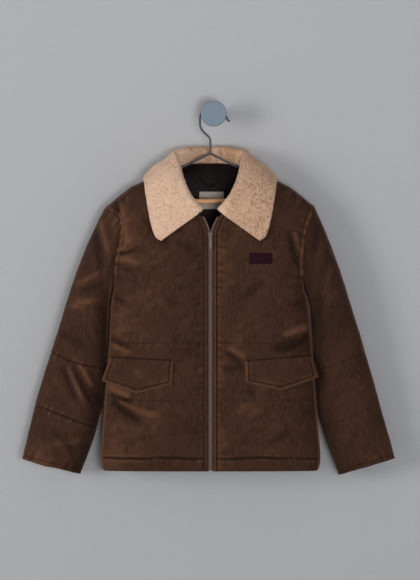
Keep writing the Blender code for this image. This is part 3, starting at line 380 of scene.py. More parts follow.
def waves(seed, x, z, longest, shortest, count=16):
    """Uneven waves of cloth, about 1 high, from many plain waves in all directions."""
    dice = random.Random(seed)
    total = np.zeros(np.broadcast(x, z).shape)
    for _ in range(count):
        length = shortest + (longest - shortest) * dice.random()
        turn = dice.random() * math.pi
        phase = dice.random() * 2 * math.pi
        along = x * math.cos(turn) + z * math.sin(turn)
        total = total + np.sin(2 * math.pi * along / length + phase)
    return total / math.sqrt(count / 2)


def gathers(seed, along, off, reach, count=7):
    """Small gathers square to a row of stitches: "along" the row, "off" from it."""
    dice = random.Random(seed)
    total = np.zeros(np.broadcast(along, off).shape)
    for _ in range(count):
        length = 0.009 + 0.013 * dice.random()
        phase = dice.random() * 2 * math.pi
        total = total + np.sin(2 * math.pi * (along + 0.25 * off) / length + phase)
    return total / 2 * seam_dip(off, reach)


def seam_dip(off, half):
    """Section of a sunk seam at a distance from its middle: 1 in the middle, 0 beside it."""
    return np.exp(-(off / half) ** 2)


def seam_row(off, deep, roll, half):
    """Section of a row of stitches: sunk this deep, with cloth that rolls up beside it."""
    return roll * seam_dip(np.abs(off) - 2.6 * half, 1.2 * half) - deep * seam_dip(off, half)


# ---------------------------------------------------------------- grids of points
def upper_places(side, face, c, r, inset):
    """Half widths and heights above the underarm, for columns c and rows r: a patch between four edges."""
    shoulder_x = armhole(side, 1.0)[0]

    def top(c):
        if face == "front":
            x = NECK_X + c * (shoulder_x - NECK_X)
            return np.stack([x, ridge_z(x) - inset], -1)
        neck_x, neck_z = neckline(face, 1 - (1 - np.minimum(c / NECK_SHARE, 1.0)) ** NECK_BEND, inset)
        x = NECK_X + (c - NECK_SHARE) / (1 - NECK_SHARE) * (shoulder_x - NECK_X)
        on_neck = c <= NECK_SHARE
        return np.stack([np.where(on_neck, neck_x, x), np.where(on_neck, neck_z, ridge_z(x) - inset)], -1)

    def bottom(c):
        start = inner_edge(face, UNDERARM_Z)
        width = half_girth(side, UNDERARM_Z) - inset * (1 - c ** 8) - start
        return np.stack([start + width * c, UNDERARM_Z + inset * c ** 8], -1)

    if face == "front":
        z = UNDERARM_Z + (ZIP_TOP_Z - UNDERARM_Z) * r / NECK_ROW
        neck_x, neck_z = neckline(face, np.clip((r - NECK_ROW) / (1 - NECK_ROW), 0.0, 1.0), inset)
        on_zip = r <= NECK_ROW
        centre = np.stack([np.where(on_zip, zip_edge(z), neck_x), np.where(on_zip, z, neck_z)], -1)
    else:
        centre = np.stack([np.zeros_like(r), UNDERARM_Z + (NECKLINE["back_z"][0] - UNDERARM_Z) * r], -1)
    lift = inset * (1 - fade(r, 0.0, 0.35)) - inset * fade(r, 0.80, 1.0)
    arm_x, arm_z = armhole(side, r)
    arm = np.stack([arm_x, arm_z + lift], -1)
    c_grid, r_grid = c[None, :, None], r[:, None, None]
    zero, one = np.array(0.0), np.array(1.0)
    straight = (1 - r_grid) * bottom(c)[None] + r_grid * top(c)[None]
    by_centre = centre[:, None] - (1 - r_grid) * bottom(zero) - r_grid * top(zero)
    by_arm = arm[:, None] - (1 - r_grid) * bottom(one) - r_grid * top(one)
    return straight + (1 - c_grid) ** 2 * by_centre + c_grid ** 2 * by_arm


SEAM_STEPS = np.array([0.0005, 0.0011, 0.0018, 0.0026, 0.0036, 0.0048])     # finer steps beside a seam


def panel_columns():
    """Columns from the centre (0) to the side (1), spaced along the curved cloth, finer at both ends."""
    c = 1 - np.linspace(1, 0, 4000) ** 3
    depth = 0.058 * (1 - c ** ROUNDNESS) ** (1 / ROUNDNESS)
    way = np.concatenate([[0], np.cumsum(np.hypot(np.diff(c * 0.2), np.diff(depth)))])
    fine, gap = 0.018, 0.0215
    at = np.concatenate([np.linspace(0, fine, 17), np.linspace(gap, way[-1] - gap, 52),
                         np.linspace(way[-1] - fine, way[-1], 13)])
    return np.interp(at, way, c)


def rows_with_seams(even, seams, length=1.0):
    """Even rows, with fine rows in place of those next to a seam; "length" is the metres in one unit."""
    steps = SEAM_STEPS / length
    fine = np.concatenate([[line, *(line + steps), *(line - steps)] for line in seams])
    far = np.abs(even[:, None] - np.asarray(seams)[None]).min(axis=1) > steps[-1] + 0.001 / length
    rows = np.unique(np.concatenate([even[far], fine]))
    return rows[(rows >= even[0]) & (rows <= even[-1])]


PANEL_COLUMNS = panel_columns()
LOWER_ROWS = np.concatenate([
    HEM_Z + np.array([0.0, 0.0012, 0.0026, 0.0045]),
    rows_with_seams(np.linspace(HEM_Z + 0.0072, -0.3335, 92), [z for z in QUILT_Z if z < -0.35]),
])
FINE_UPPER = np.unique(np.concatenate([np.linspace(0, 0.03, 6), np.linspace(0.03, NECK_ROW, 60),
                                       np.linspace(NECK_ROW, 0.93, 34),
                                       0.93 + 0.07 * np.sin(np.linspace(0, math.pi / 2, 12))]))


def panel_places(side, face, inset):
    """Half width and height of each point of a half panel, from the hem up."""
    half = half_girth(side, LOWER_ROWS)[:, None] - inset
    start = inner_edge(face, LOWER_ROWS)[:, None]
    x = start + (half - start) * PANEL_COLUMNS[None]
    z = np.repeat(LOWER_ROWS[:, None], len(PANEL_COLUMNS), 1)
    upper = upper_places(side, face, PANEL_COLUMNS, FINE_UPPER, inset)
    return np.concatenate([x, upper[..., 0]]), np.concatenate([z, upper[..., 1]])


def world(side, face, x, z, depth):
    return np.stack([CENTRE_X + SIGN[side] * x, CENTRE_Y + FORWARD[face] * depth, z], -1)


def square_out(points, outward):
    """Unit normals of a grid of points, on the side that "outward" points to."""
    normal = unit(np.cross(np.gradient(points, axis=0), np.gradient(points, axis=1)))
    turn = np.sign((normal * outward).sum(-1, keepdims=True))
    turn[turn == 0] = 1
    return normal * turn


ARM_ROW = 0.0075            # second row of stitches beside the armhole
SHOULDER_STITCH = 0.0085    # row of stitches below the shoulder seam
PLACKET = 0.0082            # sunk row of stitches beside the zip edge
SEAM_DIP = 0.0019           # how deep a quilting line is sunk
SEAM_HALF = 0.0017          # half width of that dip
NARROW_HALF = 0.0012        # and of the dip along a single row of topstitches
CREASE_SHARE = 1.35         # how much sharper the cloth's own creases are than their tables
# beside a row of stitches: how high the cloth gathers, how deep the row is sunk, how high its sides roll up
QUILT_GATHER, QUILT_ROLL = 0.0007, 0.0004
ARM_GATHER, ARM_DIP, ARM_ROLL = 0.0007, 0.0018, 0.0012
SHOULDER_GATHER, SHOULDER_DIP = 0.0004, 0.0014
PLACKET_GATHER, PLACKET_DIP, PLACKET_ROLL = 0.00055, 0.0017, 0.0007
FLAP_GATHER, FLAP_DIP, FLAP_ROLL = 0.0002, 0.0014, 0.0006
FLAP_TOP_DIP = 0.0030       # the flap is sunk where it is sewn on
FLAP_RIM_WEAR_AND_HIGHLIGHT = 0.0026           # and painted highlight round its free edges, where its nap is also worn lighter
CALM = 0.15                 # share of the creases that is left right beside the zip
QUILT_SHARES = (1.60, 0.26, 0.24, 0.20, 0.15)       # how deep each quilting line is sunk, from the hem up
GATHER_SHARES = (0.25, 0.30, 0.30, 0.25, 0.15)      # how much the cloth gathers at each
TONE_DEPTH = 0.0017         # height of cloth that goes with the full change of its painted shade and highlight
SOFT_SHARE = 0.30           # share of the soft waves that shows in the painted shading
FOLD_SHARE = 0.20           # share of the solid's own folds that shows in the painted shading
FOLD_EASE = {("right", "front"): 0.10, ("left", "front"): 0.35,      # share of a fold that the cloth bridges
             ("right", "back"): 0.0, ("left", "back"): 0.0}
SIDE_EDGE_HIGHLIGHT = 0.0070          # painted highlight along the side edges, as strong as a ridge this high is
PAINTED_LIGHT_LEAN = {"right": 0.00050, "left": -0.00022}     # painted light: each front is lighter towards the wearer's right, the side the key lamp stands on
SLEEVE_QUILT = {"right": (0.20, 0.80, 0.72, 0.40), "left": (0.10, 0.26, 0.22, 0.40)}    # the same on a sleeve
HEAD_SHADE = {"right": 0.0, "left": 0.0009}         # painted shade on the left sleeve's head
PRESSED_Y = -0.0003         # the wall behind presses the pile flat
SLEEVE_RIM_HIGHLIGHT = 0.0016         # painted highlight along the sleeve's outer edge
REST_GAP = 0.0006           # what is left between a sleeve and the body's side where it rests on it
REST_REACH = 0.0030         # how far the padding bulges to rest there
SHADE_BESIDE_BODY = 0.0015           # painted shade where the sleeve lies against the body, as dark as a hollow this deep
SAFE_DEPTH = 0.0045         # the deepest crease stays this near the solid's form, off the lining


def panel_detail(side, face, x, z, seed):
    """Sharp creases and gathers of a half panel, and its soft waves, out from the solid's form."""
    rows = len(LOWER_ROWS)
    to_side = np.hypot(x[:, -1:] - x, z[:, -1:] - z)
    detail = CREASE_SHARE * line_height(CREASES[side, face], x, z)
    soft = 0.0007 * waves(seed, x, z, 0.150, 0.060) + 0.0004 * waves(seed + 1, x, 1.6 * z, 0.050, 0.020)
    for number, (line, share, gather) in enumerate(zip(QUILT_Z, QUILT_SHARES, GATHER_SHARES)):
        off = z - line + 0.0008 * waves(seed + 60 + number, x, 0.0, 0.12, 0.04, 6)
        detail += gather * QUILT_GATHER * gathers(seed + 10 + number, x, off, 0.012)
        uneven = 0.80 + 0.20 * waves(seed + 80 + number, x, 0.0, 0.10, 0.05, 5)
        detail += share * uneven * seam_row(off, SEAM_DIP, QUILT_ROLL, SEAM_HALF)
    arm = np.zeros_like(x)
    along = way_along(np.stack([x[:, -1:], z[:, -1:]], -1))
    arm[rows:] = (ARM_ROLL * fade(to_side, ARM_ROW * 1.3, ARM_ROW * 0.5)
                  - ARM_DIP * seam_dip(to_side - ARM_ROW, 0.0013)
                  + ARM_GATHER * gathers(seed + 30, along, to_side, 0.016))[rows:]
    detail += arm * fade(z, UNDERARM_Z, UNDERARM_Z + 0.02)
    if face == "front":
        from_seam = np.hypot(x[-1:] - x, z[-1:] - z) - SHOULDER_STITCH
        shoulder = SHOULDER_GATHER * gathers(seed + 40, x, from_seam, 0.008)
        shoulder -= SHOULDER_DIP * seam_dip(from_seam, 0.0013)
        detail += shoulder * fade(x, NECK_X, NECK_X + 0.03)
        from_zip = x - zip_edge(z)
        detail += PLACKET_GATHER * gathers(seed + 50, z, from_zip - PLACKET, 0.011)
        calm = CALM + (1 - CALM) * fade(from_zip, 0.004, 0.016)
        detail *= calm
        soft *= calm
        detail += seam_row(from_zip - PLACKET, PLACKET_DIP, PLACKET_ROLL, NARROW_HALF)
    edge = fade(half_girth(side, z) - x, 0.0, 0.012) * (0.3 + 0.7 * fade(ridge_z(x) - z, 0.0, 0.012))
    edge = edge * fade(z, HEM_Z, HEM_Z + 0.004)
    return detail * edge, soft * edge


def painted_shading_of(sharp, soft):
    """Painted shading of the cloth: 0, painted shade, in a hollow; 1, painted highlight, on a ridge; 0.5 on
    plain cloth.
    """
    return 0.5 + 0.5 * np.tanh((sharp + SOFT_SHARE * soft) / TONE_DEPTH)


def half_panel(side, face, seed):
    """Outer and inner points of a half panel, its pattern's places in metres, and its painted shade and
    highlight.
    """
    x, z = panel_places(side, face, 0.0)
    half = half_girth(side, z)
    form = relief(side, face, x, z)
    base = world(side, face, x, z, np.maximum(cloth_depth(side, face, x, z) + form, SEAM / 2))
    normal = square_out(base, np.array([0.0, FORWARD[face], 0.0]))
    hem = HEM_TURN["outer"] * (1 - fade(z, HEM_Z, HEM_Z + HEM_ROUND))
    sharp, soft = panel_detail(side, face, x, z, seed)
    detail = np.maximum(sharp + soft, -SAFE_DEPTH - form)
    folds = line_height(FOLDS[side, face], x, z)
    eased = FOLD_EASE[side, face] * folds * fade(half - x, 0.0, 0.012)
    outer = base + normal * (detail - hem)[..., None] - normal * eased[..., None]
    x_in, z_in = panel_places(side, face, WALL)
    depth = np.maximum(cloth_depth(side, face, x_in, z_in, WALL), SEAM / 2)
    depth = depth + HEM_TURN["inner"] * (1 - fade(z_in, HEM_Z, HEM_Z + HEM_ROUND))
    inner = world(side, face, x_in, z_in, depth)
    across = way_along(base, 1) + np.abs(x[:, :1])
    # painted highlight along the side edges, and painted light leaning across each front
    painted_side_light = SIDE_EDGE_HIGHLIGHT * (1 - fade(half - x, 0.0006, 0.0055))
    if face == "front":
        painted_side_light = painted_side_light + PAINTED_LIGHT_LEAN[side] * (2 * np.clip((x - zip_edge(z)) / (half - zip_edge(z)), 0.0, 1.0) - 1)
    # painted shade in creases and hollows, painted highlight on ridges and side edges
    painted_shading = painted_shading_of(sharp + FOLD_SHARE * folds + painted_side_light, soft)
    return outer, inner, np.stack([SIGN[side] * across, z], -1), painted_shading


def mirror_join(right, left):
    """One grid from a right and a left half that share their centre column."""
    return np.concatenate([right[:, ::-1], left[:, 1:]], axis=1)


# ---------------------------------------------------------------- meshes from grids
def put_together(name, verts, faces, materials, kinds=None, places=None, painted_shading=None, smooth=True):
    """A mesh object from points and faces, a material number for each face, a pattern place and the painted
    shade or highlight of each point."""
    mesh = bpy.data.meshes.new(name)
    mesh.from_pydata([tuple(v) for v in verts], [], [tuple(f) for f in faces])
    for made in materials:
        mesh.materials.append(made)
    if kinds is not None:
        mesh.polygons.foreach_set("material_index", np.asarray(kinds, dtype=np.int32))
    if places is not None:
        layer = mesh.uv_layers.new(name="pattern")
        loops = np.empty(len(mesh.loops), dtype=np.int32)
        mesh.loops.foreach_get("vertex_index", loops)
        layer.data.foreach_set("uv", np.asarray(places, dtype=np.float32)[loops].ravel())
    # painted shade and highlight of each point, for the cloth's material
    if painted_shading is not None:
        layer = mesh.attributes.new("painted_shading", "FLOAT", "POINT")
        layer.data.foreach_set("value", np.asarray(painted_shading, dtype=np.float32).ravel())
    if smooth:
        mesh.polygons.foreach_set("use_smooth", np.ones(len(mesh.polygons), dtype=bool))
    mesh.update()
    thing = bpy.data.objects.new(name, mesh)
    bpy.context.scene.collection.objects.link(thing)
    return thing


def wall_between(name, outer, inner, places, materials, closed=False, painted_shading=None):
    """A closed sheet of cloth between two grids; "closed" joins the end of each row to its start."""
    rows, columns = outer.shape[:2]
    count = rows * columns
    verts = np.concatenate([outer.reshape(-1, 3), inner.reshape(-1, 3)])
    index = np.arange(count).reshape(rows, columns)
    beside = np.roll(index, -1, axis=1) if closed else index[:, 1:]
    here = index if closed else index[:, :-1]
    outside = np.stack([here[:-1], beside[:-1], beside[1:], here[1:]], -1).reshape(-1, 4)
    edges = [(here[0], beside[0]), (beside[-1], here[-1])]
    if not closed:
        edges += [(index[1:, 0], index[:-1, 0]), (index[:-1, -1], index[1:, -1])]
    start, end = [np.concatenate(ends) for ends in zip(*edges)]
    rim = np.stack([end, start, start + count, end + count], -1)
    faces = np.concatenate([outside, outside[:, ::-1] + count, rim])
    p = verts[outside[len(outside) // 2]]
    q = verts[outside[len(outside) // 2] + count]
    if np.dot(np.cross(p[1] - p[0], p[3] - p[0]), (p - q).mean(0)) < 0:
        faces = faces[:, ::-1]
    lined = 1 if len(materials) > 1 else 0
    kinds = np.concatenate([np.zeros(len(outside)), np.full(len(outside), lined), np.zeros(len(rim))])
    both = np.concatenate([places.reshape(-1, 2), places.reshape(-1, 2)])
    if painted_shading is not None:
        painted_shading = np.concatenate([painted_shading.ravel(), painted_shading.ravel()])
    return put_together(name, verts, faces, materials, kinds, both, painted_shading)


def add_tube(verts, faces, rings):
    """A tube through rings of points, closed at both ends, added to lists of points and faces."""
    base, sides = len(verts), len(rings[0])
    for ring in rings:
        verts.extend(ring)
    for low in range(base, base + (len(rings) - 1) * sides, sides):
        for k in range(sides):
            m = (k + 1) % sides
            faces.append((low + k, low + m, low + sides + m, low + sides + k))
    faces.append(tuple(base + k for k in reversed(range(sides))))
    faces.append(tuple(len(verts) - sides + k for k in range(sides)))


def turn_out(thing):
    """Face normals outwards on closed shapes."""
    bm = bmesh.new()
    bm.from_mesh(thing.data)
    bmesh.ops.recalc_face_normals(bm, faces=bm.faces)
    bm.to_mesh(thing.data)
    bm.free()
    return thing


# ---------------------------------------------------------------- colours and materials
def srgb(code):
    """Linear colour of an sRGB hex value."""
    channels = [int(code[k:k + 2], 16) / 255 for k in (1, 3, 5)]
    return [c / 12.92 if c <= 0.04045 else ((c + 0.055) / 1.055) ** 2.4 for c in channels] + [1.0]


def new_material(name):
    made = bpy.data.materials.new(name)
    made.use_nodes = True
    return made, made.node_tree, made.node_tree.nodes["Principled BSDF"]


def add(tree, kind, links=None, **settings):
    """A node with its settings, sockets by name or number, and what is linked to them."""
    node = tree.nodes.new(kind)
    sockets = settings.pop("sockets", {})
    for key, value in settings.items():
        setattr(node, key, value)
    for key, value in sockets.items():
        node.inputs[key].default_value = value
    for key, source in (links or {}).items():
        tree.links.new(source, node.inputs[key])
    return node


def to_shader(tree, shader, colour, height, strength, depth, even, invert=False):
    """Ends a finish: its colour and its relief, "depth" metres high, and what is even all over it."""
    bump = add(tree, "ShaderNodeBump", {"Height": height}, invert=invert,
               sockets={"Strength": strength, "Distance": depth})
    tree.links.new(colour, shader.inputs["Base Color"])
    tree.links.new(bump.outputs[0], shader.inputs["Normal"])
    for key, value in even.items():
        shader.inputs[key].default_value = value


WALE = 0.0026               # wales are 1.4 mm apart on the real cloth; drawn coarser so that they show


def make_corduroy():
    """Woven cotton corduroy: dull red-brown ribs of cut nap, with painted shade in the creases and a painted
    highlight on ridges.

    Noise scales are cells a metre. The ribs wander over 22 mm. The nap is brushed in clouds of 30 mm and in
    streaks 3 mm wide and 21 mm long, and its tufts, under 1 mm, are drawn 2.3 mm wide so that they show.
    """
    made, tree, shader = new_material("cotton corduroy")
    uv = add(tree, "ShaderNodeUVMap", uv_map="pattern").outputs[0]
    painted_shading = add(tree, "ShaderNodeAttribute", attribute_name="painted_shading").outputs["Fac"]
    xyz = add(tree, "ShaderNodeSeparateXYZ", {0: uv})
    wander = add(tree, "ShaderNodeTexNoise", {"Vector": uv}, sockets={"Scale": 45.0, "Detail": 2.0})
    shift = add(tree, "ShaderNodeMath", {0: wander.outputs[0]}, operation="MULTIPLY", sockets={1: 0.35})
    count = add(tree, "ShaderNodeMath", {0: xyz.outputs[0]}, operation="MULTIPLY", sockets={1: 1 / WALE})
    along = add(tree, "ShaderNodeMath", {0: count.outputs[0], 1: shift.outputs[0]}, operation="ADD")
    turn = add(tree, "ShaderNodeMath", {0: along.outputs[0]}, operation="MULTIPLY", sockets={1: 2 * math.pi})
    wave = add(tree, "ShaderNodeMath", {0: turn.outputs[0]}, operation="SINE")
    rib = add(tree, "ShaderNodeMapRange", {0: wave.outputs[0]}, sockets={1: -1.0, 2: 1.0, 3: 0.0, 4: 1.0})
    stretch = add(tree, "ShaderNodeMapping", {"Vector": uv}, sockets={"Scale": (1.0, 0.14, 1.0)})
    streak = add(tree, "ShaderNodeTexNoise", {"Vector": stretch.outputs[0]},
                 sockets={"Scale": 330.0, "Detail": 3.0})
    drawn = add(tree, "ShaderNodeMapping", {"Vector": uv}, sockets={"Scale": (1.0, 0.5, 1.0)})
    cloud = add(tree, "ShaderNodeTexNoise", {"Vector": drawn.outputs[0]},
                sockets={"Scale": 34.0, "Detail": 6.0, "Roughness": 0.68, "Distortion": 0.4})
    nap = add(tree, "ShaderNodeTexNoise", {"Vector": uv}, sockets={"Scale": 430.0, "Detail": 3.0})
    colour = add(tree, "ShaderNodeMix", {0: rib.outputs[0]}, data_type="RGBA",
                 sockets={6: srgb("#1f120b"), 7: srgb("#2e1d13")}).outputs[2]
    for source, low, high, least, most, shade in (
        (streak.outputs[0], 0.36, 0.66, 0.0, 0.55, "#523526"),
        (cloud.outputs[0], 0.36, 0.64, 0.0, 0.52, "#3f291d"),
        (nap.outputs[0], 0.38, 0.66, 0.0, 0.30, "#543727"),
        # painted shade (#130a06) in the cloth's hollows and painted highlight (#6b4833) on its ridges
        (painted_shading, 0.0, 0.48, 0.70, 0.0, "#130a06"),
        (painted_shading, 0.54, 1.0, 0.0, 0.72, "#6b4833"),
    ):
        share = add(tree, "ShaderNodeMapRange", {0: source}, sockets={1: low, 2: high, 3: least, 4: most})
        colour = add(tree, "ShaderNodeMix", {0: share.outputs[0], 6: colour}, data_type="RGBA",
                     sockets={7: srgb(shade)}).outputs[2]
    height = add(tree, "ShaderNodeMath", {0: rib.outputs[0], 1: nap.outputs[0]}, operation="ADD")
    to_shader(tree, shader, colour, height.outputs[0], 0.40, 0.0007, {
        "Roughness": 0.92, "Specular IOR Level": 0.12, "Sheen Weight": 0.30, "Sheen Roughness": 0.30,
        "Sheen Tint": srgb("#a37a68"),
    })
    return made


def make_lining():
    """Woven polyester lining: near-black brown, smooth and a little shiny.

    It ripples over 17 mm. Its threads are 0.1 mm and are drawn 0.7 mm wide so that they show.
    """
    made, tree, shader = new_material("polyester lining")
    uv = add(tree, "ShaderNodeUVMap", uv_map="pattern").outputs[0]
    ripple = add(tree, "ShaderNodeTexNoise", {"Vector": uv}, sockets={"Scale": 60.0, "Detail": 3.0})
    weave = add(tree, "ShaderNodeTexNoise", {"Vector": uv}, sockets={"Scale": 1400.0, "Detail": 1.0})
    colour = add(tree, "ShaderNodeMix", {0: ripple.outputs[0]}, data_type="RGBA",
                 sockets={6: srgb("#0c0604"), 7: srgb("#150c09")})
    height = add(tree, "ShaderNodeMath", {0: weave.outputs[0], 1: ripple.outputs[0]}, operation="ADD")
    to_shader(tree, shader, colour.outputs[2], height.outputs[0], 0.3, 0.001,
              {"Roughness": 0.6, "Specular IOR Level": 0.15})
    return made


def make_pile():
    """Knitted polyester sherpa: short pinkish-cream curls, pale on top, with painted shade where they meet.

    Fibres are 0.05 mm and are drawn as 2.3 mm tufts so that they show; the colour drifts over 33 mm.
    """
    made, tree, shader = new_material("polyester sherpa")
    curl = add(tree, "ShaderNodeAttribute", attribute_name="curl").outputs["Fac"]
    place = add(tree, "ShaderNodeTexCoord").outputs["Object"]
    fine = add(tree, "ShaderNodeTexVoronoi", {"Vector": place}, sockets={"Scale": 430.0})
    cloud = add(tree, "ShaderNodeTexNoise", {"Vector": place}, sockets={"Scale": 30.0, "Detail": 4.0})
    low, high = [
        add(tree, "ShaderNodeMix", {0: cloud.outputs[0]}, data_type="RGBA",
            sockets={6: srgb(one), 7: srgb(other)})
        for one, other in (("#957155", "#a68368"), ("#cfae94", "#e2c3a9"))
    ]
    # painted shade: the curls are darker where they sink between each other
    depth = add(tree, "ShaderNodeMapRange", {0: curl}, sockets={1: -0.30, 2: 0.65, 3: 0.0, 4: 1.0})
    base = add(tree, "ShaderNodeMix", {0: depth.outputs[0], 6: low.outputs[2], 7: high.outputs[2]},
               data_type="RGBA")
    # painted shade between the tufts
    tuft_shade = add(tree, "ShaderNodeMapRange", {0: fine.outputs["Distance"]},
               sockets={1: 0.1, 2: 0.9, 3: 0.0, 4: 0.30})
    colour = add(tree, "ShaderNodeMix", {0: tuft_shade.outputs[0], 6: base.outputs[2]}, data_type="RGBA",
                 sockets={7: srgb("#9e7a60")})
    to_shader(tree, shader, colour.outputs[2], fine.outputs["Distance"], 0.6, 0.0008, {
        "Roughness": 0.95, "Specular IOR Level": 0.1, "Sheen Weight": 0.18, "Sheen Roughness": 0.5,
        "Sheen Tint": srgb("#f6dfcc"),
    }, invert=True)
    return made


def make_plain(name, low, high, rough, scale, metallic=0.0, bump_mm=0.1, stretch=(1.0, 1.0, 1.0), coat=0.0,
               shine=0.5):
    """A hard or woven finish whose grain is a noise of the object's own places, "scale" cells a metre."""
    made, tree, shader = new_material(name)
    place = add(tree, "ShaderNodeTexCoord").outputs["Object"]
    turned = add(tree, "ShaderNodeMapping", {"Vector": place}, sockets={"Scale": stretch})
    grain = add(tree, "ShaderNodeTexNoise", {"Vector": turned.outputs[0]},
                sockets={"Scale": scale, "Detail": 4.0})
    sharp = add(tree, "ShaderNodeMapRange", {0: grain.outputs[0]}, sockets={1: 0.3, 2: 0.7, 3: 0.0, 4: 1.0})
    colour = add(tree, "ShaderNodeMix", {0: sharp.outputs[0]}, data_type="RGBA",
                 sockets={6: srgb(low), 7: srgb(high)})
    to_shader(tree, shader, colour.outputs[2], grain.outputs[0], 0.4, bump_mm / 1000, {
        "Roughness": rough, "Metallic": metallic, "Coat Weight": coat, "Specular IOR Level": shine,
    })
    return made


corduroy = make_corduroy()
lining = make_lining()
pile = make_pile()
# three-ply spun polyester: dull dark brown, with its 0.4 mm twist
thread = make_plain("spun polyester thread", "#1d120c", "#33211a", 0.85, 2500.0)
# woven polyester: flat, dull and paler than the cloth, with ribs of 0.55 mm
tape = make_plain("woven zip tape", "#39271f", "#523d32", 0.85, 1800.0, shine=0.15)
# moulded nylon: pale grey-brown with a soft gloss, rubbed in spots of 1.1 mm
teeth = make_plain("nylon zip coil", "#57483f", "#76665c", 0.5, 900.0, shine=0.3)
# cast and plated, then stained: a dull brown-grey metal, mottled over 1.7 mm
slider_metal = make_plain("antique nickel", "#382d28", "#5a4b44", 0.45, 600.0, metallic=0.5)
# drawn wire: cool dark grey, with drawing marks 2 mm wide and 20 mm long; the real ones are finer
steel = make_plain("drawn steel wire", "#33373b", "#4c5258", 0.42, 500.0, metallic=0.8, stretch=(1, 1, 0.1))
# turned and varnished: warm gold under a soft gloss; its grain is 1 mm wide and drawn 6 mm so that it shows
beech = make_plain("varnished beech", "#e09c5c", "#f4c088", 0.42, 160.0, stretch=(0.06, 1.0, 1.0), coat=0.25)
# sprayed on metal: even grey-blue with a satin gloss and a faint orange peel of 3 mm
paint = make_plain("satin painted metal", "#536775", "#617484", 0.42, 350.0, bump_mm=0.05, coat=0.15)
# woven satin: pale grey-beige with a soft gloss; threads of 0.15 mm are drawn 0.6 mm wide so that they show
label_cloth = make_plain("woven satin label", "#a4988b", "#bcafa2", 0.6, 1600.0, stretch=(1, 1, 0.3),
                         shine=0.3)
# close plain weave: dark plum and dull; threads of 0.2 mm are drawn 0.7 mm wide so that they show
patch_cloth = make_plain("woven plum patch", "#19050d", "#2a0d17", 0.85, 1500.0, stretch=(0.4, 1, 1),
                         shine=0.1)
# twisted cotton: near-black and dull, with strands of 1.1 mm
loop_cloth = make_plain("twisted cord", "#160e0a", "#261a13", 0.85, 900.0, shine=0.1)


# ---------------------------------------------------------------- panels and sleeves
def finish_piece(thing, node=None):
    """Puts a piece on the jacket's body, in place of the solid that it stands for."""
    if node:
        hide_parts(node)
    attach(thing, "jacket")
    return thing


def make_front(side, seed):
    outer, inner, places, painted_shading = half_panel(side, "front", seed)
    return wall_between(f"front_{side}_cloth", outer, inner, places, [corduroy, lining], painted_shading=painted_shading)


def make_back():
    right = half_panel("right", "back", 300)
    left = half_panel("left", "back", 300)
    outer, inner, places, painted_shading = [mirror_join(a, b) for a, b in zip(right, left)]
    return wall_between("back_cloth", outer, inner, places, [corduroy, lining], painted_shading=painted_shading)


RING = 88                   # points round a sleeve
TURNS = 2 * math.pi * np.arange(RING) / RING        # their angles: 0 outside, then the front, inside and back
HEAD_ROWS = np.concatenate([[0.0, 0.006, 0.013, 0.021, 0.030, 0.041], np.linspace(0.055, 1.0, 46)[:-1]])
SLEEVE_CHANNEL = 0.104      # length of a quilted channel
SLEEVE_SEAMS = (0.0, 1.0, 2.0, 3.0 - CUFF_STITCH)   # stations of the quilting lines and the cuff's stitches
STATIONS = rows_with_seams(np.linspace(0.0, 3 - CUFF_STITCH, 96), SLEEVE_SEAMS, SLEEVE_CHANNEL)
CUFF_ROWS = ((0.93, 0.0), (0.85, 0.0006), (0.70, 0.0012), (0.5, 0.0013),     # share of the cuff left, and its
             (0.3, 0.0009), (0.12, 0.0), (0.0, -0.0008))                     # roundness there
SLEEVE_CREASE_SHARE = 1.2   # how much sharper the sleeve's creases are than their tables
SLEEVE_ROLL, SLEEVE_DIP, SLEEVE_GATHER = 0.0006, 1.15 * SEAM_DIP, 0.0009
ARM_RADIUS = 0.045          # of the tube on which the sleeve's soft waves are drawn


def armhole_ring(side, layer):
    """The body's armhole edge as a ring of points: the shoulder point, down the front, up the back."""
    inset = WALL if layer == "inner" else 0.0
    half = RING // 2
    r = np.interp(np.linspace(0, len(UPPER_ROWS) - 1, half + 1), range(len(UPPER_ROWS)), UPPER_ROWS)
    edge = {}
    for face in FORWARD:
        x, z = upper_places(side, face, np.array([1.0]), r, inset)[:, 0].T
        depth = cloth_depth(side, face, x, z, inset)
        if layer == "outer":
            depth = depth + relief(side, face, x, z)
        edge[face] = world(side, face, x, z, np.maximum(depth, SEAM / 2))
    ring = np.concatenate([edge["front"][:0:-1], edge["front"][:1], edge["back"][1:-1]])
    ring[[0, half], 1] = CENTRE_Y
    return ring


def section_ring(side, t, layer, puff=0.0):
    """Points round the sleeve at a station of its table."""
    inset = WALL if layer == "inner" else 0.0
    read = row_at(SLEEVE[side], t)
    outer = np.array([CENTRE_X + SIGN[side] * read["outer_x"], 0.0, read["outer_z"]])
    inner = np.array([CENTRE_X + SIGN[side] * read["inner_x"], 0.0, read["inner_z"]])
    centre = (outer + inner) / 2 + np.array([0.0, read["y"], 0.0])
    across = (outer - inner) / 2
    half = np.linalg.norm(across) - inset
    u, v = [np.sign(part) * np.abs(part) ** (2 / SLEEVE_ROUNDNESS) for part in (np.cos(TURNS), np.sin(TURNS))]
    depth = read["half_depth"] - inset + (puff * np.abs(np.sin(TURNS)) if layer == "outer" else 0.0)
    return centre + unit(across) * (half * u)[:, None] - np.array([0.0, 1.0, 0.0]) * (depth * v)[:, None]


